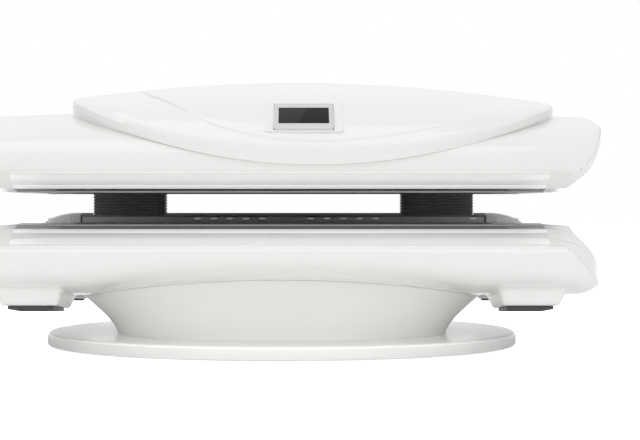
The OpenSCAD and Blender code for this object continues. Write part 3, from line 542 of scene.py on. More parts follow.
# Corners (y, z) of each profile on the bed's rear side, the radius at each corner and the points of each arc
LIP = rounded([[405, 428], [445, 422.8], [447.5, 418.6], [497, 410.5], [497, 406], [405, 423]],
              [2.4, 1.0, 1.0, 1.5, 1.0, 1.0])
TRIM = rounded([[497, 411], [500.5, 411], [510, 402.8], [511.6, 400.2], [531, 384], [531, 376], [497, 400]],
               [1.0, 3.0, 1.0, 0.6, 1.6, 1.0, 1.0], 6)
RIM = rounded([[531, 384], [561, 367.7], [565, 362.7], [565, 356.7], [553, 356.7], [531, 372]],
              [1.2, 7.0, 5.0, 1.2, 1.0, 1.0], 7)
SEAL = rounded([[405.4, 427], [405.4, 437.4], [413.5, 437.4], [417, 425]], [1.0, 3.5, 3.5, 1.0])
# Each rail: its profile, slot, finish on the bed and on the canopy, and second finishes between two distances
RAILS = {
    # The canopy's lip takes the lip colour at 0.3 of its strength, painted shade on a face turned down.
    # The lip's narrow flank is a lighter grey, a painted highlight.
    "lip": (LIP, "dark_lip", "Smoked lip", "Upper lip", [("Lip edge", 445.0, 447.6)]),
    # The trim's upper band next to the lip is near-white, a painted highlight along the bead.
    "trim": (TRIM, "satin_metal", "Brushed trim", "Brushed trim", [("Polished bead", 499.5, 510.6)]),
    # The rim's bevel band takes the shell's white 1.29 times brighter, as painted light on a face that gets little
    # light.
    "rim": (RIM, "white_shell", "Gloss shell", "Gloss shell", [("Bright shell", 531.0, 558.5)]),
}
# Half the gap round each bellows in the lip and in the seal, how much sooner the seal ends, and the web's share of
# the lip's width
COLUMN_CUT = 139.5
SEAL_CUT = 135.0
SEAL_SHORT = 39.0
WEB_SHARE = 0.03


def spans(reach, cut):
    """The three lengths along the rear, left free where the bellows pass."""
    return [(-reach, -COLUMN_X - cut), (-COLUMN_X + cut, COLUMN_X - cut), (COLUMN_X + cut, reach)]


def rear_lip(rail):
    """The rear lip in three lengths, with a narrow web between them where the bellows pass."""
    web = rail.copy()
    web[:, 0] = LIP_IN + (web[:, 0] - LIP_IN) * WEB_SHARE
    parts = [lofted(along_x(rail, a, b, 0.5)) for a, b in spans(RAIL_HALF, COLUMN_CUT)]
    return joined(parts + [lofted(along_x(web, s * COLUMN_X - COLUMN_CUT, s * COLUMN_X + COLUMN_CUT, 0.3))
                           for s in (-1, 1)])


class BED_OT_rails(bpy.types.Operator):
    """Long rails on both halves: smoked lip, satin trim and white rim, each a rounded profile along x, and the
    seal on the rear lip."""

    bl_idname = "bed.rails"
    bl_label = "Long rails"

    def execute(self, context):
        for kind, (profile, slot, lower, upper, bands) in RAILS.items():
            for place in ("front", "rear"):
                shape = profile if place == "rear" else (profile * [-1, 1])[::-1]
                for half, body, finish in (("bed", "base", lower), ("canopy", "canopy", upper)):
                    rail = shape if half == "bed" else over_split(shape)[::-1]
                    if (kind, place) == ("lip", "rear"):
                        solid = rear_lip(rail)
                    else:
                        solid = lofted(along_x(rail, -RAIL_HALF, RAIL_HALF, 0.5))
                    name = f"{half}_{kind}_{place}"
                    piece = part(f"{name}_skin", solid, finish, 40, body, slot, name)
                    # On the bed the trim's lower face takes the metal at 0.84 of its strength, painted shade.
                    for band in bands + [("Trim face", 511.0, 532.0)] * (kind == "trim" and half == "bed"):
                        banded(piece, *band)
        parts = [lofted(along_x(SEAL, a, b, 0.8)) for a, b in spans(RAIL_HALF - SEAL_SHORT, SEAL_CUT)]
        part("rear_seal", joined(parts), "Seal rubber", 40, "base", "dark_lip")
        return {"FINISHED"}


# Pedestal, floor plate and vent grilles

# The pedestal's foot and head as ovals: half length, half depth, power; the foot's height; how far it is drawn in
FOOT = (560.0, 277.0, 2.5)
HEAD = (680.0, 301.0, 2.5)
FOOT_Z = 46.0
WAIST = 14
# The inlet's window behind: half width, the half width that stays flat, and its height as shares of the pedestal's
WINDOW_HALF = 65.0
FLAT_HALF = 70
WINDOW_T = (0.1227, 0.4366)


def oval_around(size, inset, phi):
    """The oval of that size, drawn in all round by the inset."""
    return oval(size[0] - inset, size[1] - inset, phi, size[2])


class BED_OT_pedestal(bpy.types.Operator):
    """Waisted pedestal: ovals that grow from foot to hull, drawn in by a sine, with the inlet's window behind."""

    bl_idname = "bed.pedestal"
    bl_label = "Pedestal"

    def execute(self, context):
        sizes = context.scene.bed_shell
        depth, wall = sizes.hull_depth * 1000, sizes.wall * 1000
        low, high = WINDOW_T
        steps = [np.linspace(0, low, 7)[:-1], np.linspace(low, high, 13)[:-1], np.linspace(high, 1, 25)]
        t = np.concatenate(steps)[:, None]
        quarter = np.radians(np.concatenate([np.linspace(0, 6, 10)[:-1], np.linspace(6, 70, 34)[:-1]]))
        # cosine of the window's side at the foot, so that a column of points runs along it
        side = math.acos(((WINDOW_HALF + 0.3) / FOOT[0]) ** (FOOT[2] / 2))
        back = np.concatenate([np.linspace(math.radians(70), side, 8)[:-1], np.linspace(side, math.pi / 2, 7)])
        first = np.concatenate([quarter, back])
        second = np.concatenate([first, math.pi - first[-2::-1]])
        phi = np.concatenate([second, second[1:-1] + math.pi])[None]
        skins = []
        for inset in (0.0, wall):
            fx, fy = oval_around(FOOT, inset, phi)
            tx, ty = oval_around(HEAD, inset, phi)
            grow = t * smooth((np.abs(fx) - FLAT_HALF) / 90) ** 0.5
            x, y = fx + (tx - fx) * grow, fy + (ty - fy) * t
            waist = WAIST * np.sin(math.pi * t**0.8)
            pull = 1 - waist / np.hypot(x, 2 * y)
            pull_x = np.where(np.abs(fx) < FLAT_HALF, 1.0, pull)
            top = hull_base(x, y, depth) - 0.4 - inset * 0.3
            skins.append(np.stack([x * pull_x, y * pull, FOOT_Z + t * (top - FOOT_Z)], -1))
        fx = oval_around(FOOT, 0.0, phi)[0][0]
        low_x = (np.abs(fx) + np.abs(np.roll(fx, -1))) / 2
        rear = (np.sin(phi[0]) + np.sin(np.roll(phi[0], -1))) > 0
        window_x = (low_x < WINDOW_HALF) & rear
        middle_t = (t[:-1, 0] + t[1:, 0]) / 2
        window_t = (middle_t > low) & (middle_t < high)
        keep = ~(window_t[:, None] & window_x[None])
        shape = walled_grid(*skins, keep, True)
        part("pedestal_skin", shape, "Gloss shell", 40, "base", "white_shell", "pedestal_shell")
        return {"FINISHED"}


# The floor plate as an oval, the radii of its lower and upper edge, its height above its pads
PLATE = (797.0, 430.0, 2.1)
EDGE_LOW = 8
EDGE_HIGH = 11
PLATE_TOP = 42.0
PAD_STANDS = 4.0
PAD = [[0.01, 0], [27, 0], [29.5, 0.8], [30, 2], [30, 4.4], [0.01, 4.4]]
PAD_SPOTS = [(0, 0), (620, 0), (-620, 0), (330, 290), (330, -290), (-330, 290), (-330, -290)]


class BED_OT_floor_plate(bpy.types.Operator):
    """Oval floor plate: ovals stacked from a small lower bevel to a rounded top edge, and its rubber pads."""

    bl_idname = "bed.floor_plate"
    bl_label = "Floor plate"

    def execute(self, context):
        phi = np.linspace(0, 2 * math.pi, 240, endpoint=False)
        bend = np.linspace(0, math.pi / 2, 9)
        low = EDGE_LOW - EDGE_LOW * np.stack([np.sin(bend), np.cos(bend)], -1)
        high = EDGE_HIGH * np.stack([-np.cos(bend), np.sin(bend)], -1) + [EDGE_HIGH, PLATE_TOP - EDGE_HIGH]
        rings = []
        for inset, height in np.concatenate([[[60.0, 0.0]], low, high, [[30.0, PLATE_TOP], [200.0, PLATE_TOP]]]):
            x, y = oval_around(PLATE, inset, phi)
            rings.append(np.column_stack([x, y, np.full_like(x, PAD_STANDS + height)]))
        shape = lofted(np.stack(rings))
        # The plate's upward faces take a satin white 1.26 times the shell's, painted light where the hull shades them;
        # its steep sides keep the gloss shell.
        plate = part("floor_plate_skin", shape, "Satin plate", 30, "base", "white_shell", "floor_plate")
        plate.data.materials.append(bpy.data.materials["Gloss shell"])
        tilt = np.empty(3 * len(plate.data.polygons))
        plate.data.polygons.foreach_get("normal", tilt)
        plate.data.polygons.foreach_set("material_index", (np.abs(tilt[2::3]) < 0.3).astype(np.int32))
        pads = joined([turned(PAD, x, y, 0) for x, y in PAD_SPOTS])
        part("floor_pads_skin", pads, "Bellows rubber", 30, "base", "black_plastic", "floor_pads")
        return {"FINISHED"}


GRILLE_Z = 141.0


class BED_OT_grilles(bpy.types.Operator):
    """Four black vent grilles: a rounded frame with sloped louvres, tilted with its leg."""

    bl_idname = "bed.grilles"
    bl_label = "Vent grilles"

    def execute(self, context):
        for i, (sx, sy) in enumerate(((-1, -1), (1, -1), (-1, 1), (1, 1))):
            parts = [block(-72.5, 72.5, s * 80.5 - 4.5, s * 80.5 + 4.5, 0, 10, 2.0) for s in (-1, 1)]
            parts += [block(s * 67.5 - 5, s * 67.5 + 5, -78, 78, 0, 10, 2.0) for s in (-1, 1)]
            for y in np.linspace(-66, 66, 11):
                slat = rounded([[y - 4.6, 1.2], [y - 3.2, 0.6], [y + 4.6, 8.2], [y + 3.2, 8.8]], 0.7, 3)
                parts.append(lofted(along_x(slat, -64, 64, 0.2)))
            parts.append(block(-2.5, 2.5, -78, 78, 2.5, 9.5, 1.0))
            points, faces = joined(parts)
            c, s = math.cos(sy * GRILLE_TILT), math.sin(sy * GRILLE_TILT)
            placed = np.column_stack([points[:, 0] + sx * LEG_X, points[:, 1] * c - points[:, 2] * s + sy * LEG_Y,
                                      points[:, 1] * s + points[:, 2] * c + GRILLE_Z])
            name = f"vent_grille_skin_{i + 1}"
            part(name, (placed, faces), "Black plastic", 35, "base", "black_plastic", f"vent_grille_{i + 1}")
        return {"FINISHED"}


# Light bays

# Each bay: its half and body, the sheet's radius and its centre's height, the boards' angle apart, how many there
# are, their width, and whether it lies above its lamps
BAYS = (
    ("bed", "base", 675.0, 968.0, 14.01, 5, 150.0, False),
    ("canopy", "canopy", 535.81, 164.19, 15.6, 6, 140.0, True),
)
SHEET_REACH = 404.7
SHEET = 5.0
BOARD_BEHIND = 15.0
BOARD_HALF = 796
# A lamp's dome: radius, and height from the board (down is towards the sheet)
LAMP = np.array([[9.0, 0.4], [9.0, -1.6], [7.6, -2.0], [6.6, -4.0], [4.6, -5.2], [2.2, -5.8], [0.05, -6.0]])
LAMP_POINTS = 10
LAMP_STEP = 61.0
LAMP_FIRST = 43.4


def arc_points(radius, centre_z, angles, xs, up):
    """Points of a part of a cylinder about the x direction, below its axis or above it."""
    z = centre_z + (1 if up else -1) * radius * np.cos(angles)
    y = radius * np.sin(angles)
    return np.stack(np.broadcast_arrays(xs[None, :], y[:, None], z[:, None]), -1)


class BED_OT_light_bays(bpy.types.Operator):
    """Clear sheets over the light bays, and behind them the boards with a domed lamp every 61 mm."""

    bl_idname = "bed.light_bays"
    bl_label = "Light bays"

    def execute(self, context):
        for half, body, radius, centre, step, count, width, up in BAYS:
            xs = np.array([-RAIL_HALF, -RAIL_HALF + 0.6, RAIL_HALF - 0.6, RAIL_HALF])
            skins = []
            for r, gap in ((radius, 0.05), (radius + SHEET, 0.0)):
                limit = math.asin(SHEET_REACH / r)
                skins.append(arc_points(r + gap, centre, np.linspace(-limit, limit, 65), xs, up))
            shape = walled_grid(*skins)
            part(f"{half}_clear_cover", shape, "Clear sheet", 30, body, "clear_sheet", f"{half}_clear_sheet")
            self.boards(half, body, radius + BOARD_BEHIND, centre, step, count, width, up)
        return {"FINISHED"}

    def boards(self, half, body, radius, centre, step, count, width, up):
        """Boards as thin rounded slabs on the bay's circle, each with two rows of lamps, and one more row close
        to each lip. A lamp is a low round dome; all of them are one array of moved copies. The bed's bay also has
        a strip along each lip, with a flat socket at each lamp of the last row; the sockets glow faintly though
        they are no lamps, as painted glints of light."""
        parts = []
        middles = (np.arange(count) - (count - 1) / 2) * math.radians(step)
        for a in middles:
            slab, faces = block(-BOARD_HALF, BOARD_HALF, -width / 2, width / 2, radius, radius + 3, 0.8)
            parts.append((self.turned_to(slab, a, centre, up), faces))
        name = f"{half}_light_boards"
        part(f"{name}_skin", joined(parts), "Light board", 30, body, "light_board", name)
        ring = np.linspace(0, 2 * math.pi, LAMP_POINTS, endpoint=False)
        r, z = LAMP.T
        z = np.repeat(z[:, None], LAMP_POINTS, 1)
        base, faces = lofted(np.stack([np.outer(r, np.cos(ring)), np.outer(r, np.sin(ring)), z], -1))
        xs = LAMP_FIRST + LAMP_STEP * np.arange(-13, 13)
        rows = np.concatenate([middles - math.radians(step) / 4, middles + math.radians(step) / 4])
        x, a = (v.ravel() for v in np.meshgrid(xs[np.abs(xs) < 780], rows))
        # close to each lip only two groups of five and one at each end
        edge = math.asin(408.0 / (radius - 2.0))
        few = xs[((xs > -340) & (xs < -60)) | ((xs > 90) & (xs < 360)) | (np.abs(np.abs(xs) - 711) < 12)]
        x = np.concatenate([x, few, few])
        a = np.concatenate([a, np.full(len(few), -edge), np.full(len(few), edge)])
        copies = np.repeat(base[None], len(x), 0)
        copies[..., 0] += x[:, None]
        copies[..., 2] += radius
        placed = self.turned_to(copies.reshape(-1, 3), np.repeat(a, len(base)), centre, up)
        shift = (np.arange(len(x)) * len(base))[:, None, None]
        faces = [(f[None] + shift).reshape(-1, f.shape[1]) for f in map(np.asarray, faces)]
        part(f"{half}_lamps", (placed, faces), "Lamp lens", 40, body, "light_board")
        if not up:
            sides = [-1, 1]
            strips = [block(-758, 758, side * 403.6 - 1, side * 403.6 + 1, 399, 421.5, 0.6) for side in sides]
            part("edge_strips", joined(strips), "Edge strip", 40, body, "light_board")
            # The sockets glow faintly though they are no lamps: painted glints of light along the lip.
            sockets = [block(u - 11, u + 11, side * 402.2 - 1, side * 402.2 + 1, 413.5, 417.5, 0.5)
                       for u in few for side in sides]
            part("edge_sockets", joined(sockets), "Edge socket", 40, body, "light_board")

    def turned_to(self, points, angle, centre, up):
        """Points given as x, offset along the circle, radius, turned about x by the angle and put on the bay."""
        along, radius = points[:, 1], points[:, 2]
        y = radius * np.sin(angle) + along * np.cos(angle)
        z = radius * np.cos(angle) - along * np.sin(angle)
        return np.column_stack([points[:, 0], y, centre + z if up else centre - z])


# Lift columns

BELLOWS_TOP = 551.6
BELLOWS_WALL = 2.0
# How far the front of the foot reaches down, and from the middle to where the rear wall's slack ends
SKIRT = 9.0
SLACK_END = 139.0


class BED_OT_columns(bpy.types.Operator):
    """Ribbed rubber bellows: a superellipse whose size goes in and out along the height, one fold a rib.
    It stands on the lower lip, and a skirt at its front reaches 9 mm into the lip's opening. Between the lips
    its rear wall stands back by slack * sin(pi (0.07 + 0.93 f))^0.6, f from 0 to 1 over that height, which
    leaves room for the strut that leans when the canopy opens."""

    bl_idname = "bed.columns"
    bl_label = "Lift columns"

    def execute(self, context):
        sizes = context.scene.bed_column
        length, depth = sizes.length * 1000, sizes.depth * 1000
        phi = np.linspace(0, 2 * math.pi, 120, endpoint=False)
        low, fold = LIP_Z + 0.2, sizes.fold * 1000
        k = np.linspace(0, sizes.ribs, 6 * sizes.ribs + 1)
        wave = 0.5 - 0.5 * np.cos(2 * math.pi * k)
        inset = fold * wave**1.4
        skirt = np.where(k == 0, SKIRT, 0.0)
        z = low + (BELLOWS_TOP - low) * k / sizes.ribs
        free = np.clip((z - LIP_Z) / (2 * (SPLIT_Z - LIP_Z) - 1), 0, 1)
        back = sizes.slack * 1000 * np.abs(np.sin(math.pi * (0.07 + 0.93 * free))) ** 0.6
        for side, sign in SIDES:
            skins = []
            for wall in (0.0, BELLOWS_WALL):
                rings = []
                for i, h, b, foot in zip(inset, z, back, skirt):
                    x, y = oval(length / 2 - wall - i, depth / 2 - wall - i, phi, 5.0)
                    away = b * (0.5 + y / depth) ** 3 * (1 - (x / SLACK_END) ** 4)
                    rings.append([x + sign * COLUMN_X, y + COLUMN_Y + away, h - foot * (0.5 - y / depth)])
                skins.append(np.array(rings).transpose(0, 2, 1))
            piece = to_mesh(f"bellows_{side}_skin", *walled_grid(*skins, None, True), "Bellows rubber", 60)
            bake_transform(piece)
            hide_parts(f"bellows_{side}")
        return {"FINISHED"}


# Fin and display

# The fin's middle, its half length and half width, and how far its foot stands inside its edge
FIN_X = 103.0
FIN_REACH = 794.0
FIN_HALF = 572.0
FOOT_IN = 9.0


def fin_half(u):
    """Half width of the fin along its length: a superellipse of power 3, at least 4."""
    return np.maximum(4.0, FIN_HALF * np.maximum(0.0, 1 - np.abs(u) ** 3) ** (1 / 3))


def fin_edge_low(x):
    """Height of the fin's lower edge: a parabola along x, steeper on the left."""
    return 604.3 + np.where(x < FIN_X, 0.00031, 0.00028) * (x - FIN_X) ** 2


def fin_z(x, v):
    """Height of the fin: from the top of its edge wall to its ridge as (1 - v^2) to the power 0.62."""
    edge = fin_edge_low(x) + 21.0
    return edge + (889.6 - 0.0001039 * (x - 50.0) ** 2 - edge) * np.maximum(0.0, 1 - v**2) ** 0.62


# Where the swept step runs: x along the fin, and the share of the half width there
SWOOSH_X = [-470, -408, -306, -207, -69, 22, 135, 249, 357, 450, 544, 638, 700, 729]
SWOOSH_V = [0.50, 0.61, 0.82, 0.92, 0.955, 0.963, 0.966, 0.962, 0.952, 0.938, 0.937, 0.957, 0.975, 0.985]
# The fin's edge wall: offset outwards, and height over its lower edge
FIN_SKIRT = ((0.0, 19.0), (0.0, 12.0), (0.0, 4.0), (-0.6, 1.0), (-1.8, 0.0))


class BED_OT_fin(bpy.types.Operator):
    """Fin over the canopy: a long crowned oval plate with a swept step, its edge wall and its underside."""

    bl_idname = "bed.fin"
    bl_label = "Fin"

    def execute(self, context):
        sizes = context.scene.bed_shell
        step, wall = sizes.fin_step * 1000, sizes.wall * 1000
        s = np.linspace(-1, 1, 181)
        u = np.sin(s * math.pi / 2) * 0.6 + s * 0.4
        u = u / np.abs(u).max()
        x = FIN_X + u * FIN_REACH
        swoosh = np.interp(x, SWOOSH_X, SWOOSH_V, left=0.02, right=0.99)
        kernel = np.hanning(17)
        kernel /= kernel.sum()
        swoosh = np.convolve(np.pad(swoosh, 8, "edge"), kernel, "valid")
        width = fin_half(u)
        gap = np.minimum(0.02, 3.0 / width)
        inside = np.linspace(0, 1, 26)[None] * (swoosh - gap)[:, None]
        ramp = swoosh[:, None] + gap[:, None] * np.array([-0.5, 0.0, 0.5, 1.0])[None]
        outside = (swoosh + gap)[:, None] + (1 - swoosh - gap)[:, None] * np.linspace(0, 1, 22)[None, 1:] ** 0.75
        half = np.clip(np.concatenate([inside, ramp, outside], 1), 0, 1)
        v = np.concatenate([-half[:, :0:-1], half], 1)
        fade = smooth((x + 500) / 100)[:, None]
        sunk = step * fade * smooth((np.abs(v) - (swoosh - gap)[:, None]) / (2 * gap)[:, None])
        inset = (1 - np.abs(v)) * width[:, None]
        y = v * width[:, None]
        xx = np.repeat(x[:, None], v.shape[1], 1)
        top = fin_z(xx, v) - sunk * smooth(inset / 30.0)
        top = np.maximum(top, fin_edge_low(xx) + 4.0)
        low = fin_edge_low(x)
        foot = np.minimum(low - 0.2, canopy_z(x, width - FOOT_IN, sizes.canopy_rise * 1000) - 3.0)
        bands, sides = [], []
        for sign in (-1, 1):
            rows = [np.stack([x, sign * (width + o), low + h], -1) for o, h in FIN_SKIRT]
            rows.append(np.stack([x, sign * np.maximum(1.0, width - FOOT_IN), foot], -1))
            bands.append(np.stack(rows[::-1] if sign < 0 else rows, 1))
            row = np.stack([x, sign * np.maximum(0.4, width - FOOT_IN - wall), foot + 0.3], -1)
            sides.append(np.repeat(row[:, None], len(rows), 1))
        under = np.stack([xx, y * (1 - wall / FIN_HALF), np.maximum(top - wall, low[:, None] + 1.0)], -1)
        outer = np.concatenate([bands[0], np.stack([xx, y, top], -1), bands[1]], 1)
        shape = walled_grid(outer, np.concatenate([sides[0], under, sides[1]], 1))
        part("fin_skin", shape, "Gloss shell", 30, "canopy", "white_shell", "fin_cover")
        return {"FINISHED"}


DISPLAY_X = 72.0
DISPLAY_Y = -480.0
DISPLAY_TILT = math.radians(37)
DISPLAY_Z = float(fin_z(DISPLAY_X, DISPLAY_Y / fin_half((DISPLAY_X - FIN_X) / FIN_REACH))) - 1.0
# Rows of the frames' sections, from the outer edge (0) to the inner one (1): share, height, growth
BEZEL = [(0.0, -12.0, 0.0), (0.0, 3.6, 0.0), (0.04, 5.2, 0.0), (0.16, 6.0, 0.0),
         (0.85, 6.0, 0.0), (0.97, 5.4, 0.0), (1.0, 4.2, 0.0), (1.0, -6.0, 0.0)]
PAD_FRAME = [(0.0, -26.0, 3.0), (0.0, -2.0, 2.0), (0.12, 2.2, 0.0), (0.35, 3.6, 0.0),
             (0.8, 3.6, 0.0), (1.0, 2.4, 0.0), (1.0, -20.0, 0.0)]
# Rows of the screen's block: left side, lower side, height
SCREEN = [(-75.7, -39.7, -6.0), (-75.7, -39.7, 3.4), (-75.2, -39.2, 3.9), (-74.5, -38.5, 4.0)]


def on_display(points):
    """Points of the display's own plane (x across, y up its slope, z out) put on the fin, tilted by 37 degrees."""
    x, y, z = points.T
    c, s = math.cos(DISPLAY_TILT), math.sin(DISPLAY_TILT)
    return np.column_stack([x + DISPLAY_X, y * c - z * s + DISPLAY_Y, y * s + z * c + DISPLAY_Z])


def rounded_frame(outer_size, inner_size, section, corner, segments=10):
    """A closed frame: rounded rectangles carried round a small section, out along the top and back below."""
    turn = np.linspace(0, math.pi / 2, segments)

    def ring(x0, x1, y0, y1, r, z):
        """A rectangle whose corners are quarter circles."""
        centres = [(x1 - r, y1 - r, 0), (x0 + r, y1 - r, 1), (x0 + r, y0 + r, 2), (x1 - r, y0 + r, 3)]
        xs = np.concatenate([cx + r * np.cos(turn + q * math.pi / 2) for cx, cy, q in centres])
        ys = np.concatenate([cy + r * np.sin(turn + q * math.pi / 2) for cx, cy, q in centres])
        return np.column_stack([xs, ys, np.full_like(xs, z)])

    rows = []
    for mix, z, grow in section:
        x0, x1, y0, y1 = (o + (i - o) * mix for o, i in zip(outer_size, inner_size))
        rows.append(ring(x0 - grow, x1 + grow, y0 - grow, y1 + grow, corner * (1 - mix * 0.6) + grow, z))
    rows = np.stack(rows)
    cells = grid_cells(len(rows) + 1, rows.shape[1], True).reshape(-1, 4) % (len(rows) * rows.shape[1])
    return rows.reshape(-1, 3), [cells]


class BED_OT_display(bpy.types.Operator):
    """Display on the fin: a white pad, a satin bezel and a dark screen whose left part is lighter."""

    bl_idname = "bed.display"
    bl_label = "Display"

    def execute(self, context):
        points, faces = rounded_frame((-90, 90, -68, 68), (-76, 76, -40, 46), BEZEL, 9)
        shape = on_display(points), faces
        part("display_bezel_skin", shape, "Satin bezel", 40, "canopy", "satin_metal", "display_bezel")
        rings = [[(x, y, z), (-x, y, z), (-x, 6 - y, z), (x, 6 - y, z)] for x, y, z in SCREEN]
        points, faces = lofted(np.array(rings))
        shape = on_display(points), faces
        part("display_screen_skin", shape, "Display glass", 30, "canopy", "black_plastic", "display_screen")
        points, faces = rounded_frame((-117, 117, -71, 79), (-91, 91, -69, 69), PAD_FRAME, 8)
        points[:, 2] *= np.where(points[:, 2] > 0, smooth((points[:, 1] + 74) / 110), 1.0)
        part("display_pad", (on_display(points), faces), "Gloss shell", 40, "canopy", "white_shell")
        return {"FINISHED"}


# Finishes


def new_group(name, inputs, outputs):
    """An empty shader node group with its sockets and its two end nodes."""
    tree = bpy.data.node_groups.new(name, "ShaderNodeTree")
    for label, value in inputs.items():
        kind = "NodeSocketFloat" if isinstance(value, float) else "NodeSocketColor"
        tree.interface.new_socket(name=label, in_out="INPUT", socket_type=kind).default_value = value
    for label, kind in outputs.items():
        tree.interface.new_socket(name=label, in_out="OUTPUT", socket_type=kind)
    return tree, tree.nodes.new("NodeGroupInput").outputs, tree.nodes.new("NodeGroupOutput").inputs


def wire(tree, kind, inputs=None, **settings):
    """A node of that kind with its settings; each input is linked from a socket, or else set to a value."""
    node = tree.nodes.new(kind)
    for key, value in settings.items():
        setattr(node, key, value)
    for key, value in (inputs or {}).items():
        if isinstance(value, bpy.types.NodeSocket):
            tree.links.new(value, node.inputs[key])
        else:
            node.inputs[key].default_value = value
    return node


def calc(tree, operation, *values, **settings):
    """The result of a math node."""
    return wire(tree, "ShaderNodeMath", dict(enumerate(values)), operation=operation, **settings).outputs[0]


def scaled(tree, value, low, high, start=0.0, end=1.0):
    """A value mapped from one range to another."""
    inputs = {"Value": value, "From Min": low, "From Max": high, "To Min": start, "To Max": end}
    return wire(tree, "ShaderNodeMapRange", inputs).outputs[0]


def mixed(tree, factor, first, second):
    """A colour between two colours."""
    return wire(tree, "ShaderNodeMix", {"Factor": factor, 6: first, 7: second}, data_type="RGBA").outputs[2]


def object_place(tree):
    """The point's place in its object."""
    return wire(tree, "ShaderNodeTexCoord").outputs["Object"]


def tone_group():
    """Slow changes of tone: two noises of different size, mixed between two colours, and a mask of fine specks."""
    inputs = {"Base": (0.8, 0.8, 0.8, 1), "Shade": (0.7, 0.7, 0.7, 1), "Size": 4.0, "Amount": 0.5,
              "Speck Size": 900.0, "Speck Amount": 0.1}
    tree, start, end = new_group("Tone and dust", inputs, {"Color": "NodeSocketColor", "Specks": "NodeSocketFloat"})
    place = object_place(tree)
    kind = "ShaderNodeTexNoise"
    broad = wire(tree, kind, {"Vector": place, "Scale": start["Size"], "Detail": 3.0, "Roughness": 0.55})
    fine = wire(tree, kind, {"Vector": place, "Scale": start["Speck Size"], "Detail": 1.0})
    amount = calc(tree, "MULTIPLY", broad.outputs["Fac"], start["Amount"])
    specks = calc(tree, "MULTIPLY", scaled(tree, fine.outputs["Fac"], 0.62, 0.74), start["Speck Amount"])
    total = calc(tree, "ADD", amount, specks, use_clamp=True)
    tree.links.new(mixed(tree, total, start["Base"], start["Shade"]), end["Color"])
    tree.links.new(specks, end["Specks"])


def grain_group():
    """Moulded grain or paint: a stretched noise as height and, around a level, as roughness."""
    inputs = {"Size": 300.0, "Along": 1.0, "Level": 0.3, "Spread": 0.1, "Detail": 2.0}
    tree, start, end = new_group("Grain", inputs, {"Height": "NodeSocketFloat", "Roughness": "NodeSocketFloat"})
    stretch = wire(tree, "ShaderNodeCombineXYZ", {"X": start["Along"], "Y": 1.0, "Z": 1.0}).outputs[0]
    place = wire(tree, "ShaderNodeVectorMath", {0: object_place(tree), 1: stretch}, operation="MULTIPLY").outputs[0]
    noise = wire(tree, "ShaderNodeTexNoise", {"Vector": place, "Scale": start["Size"], "Detail": start["Detail"]})
    centred = calc(tree, "SUBTRACT", noise.outputs["Fac"], 0.5)
    tree.links.new(noise.outputs["Fac"], end["Height"])
    tree.links.new(calc(tree, "MULTIPLY_ADD", centred, start["Spread"], start["Level"]), end["Roughness"])


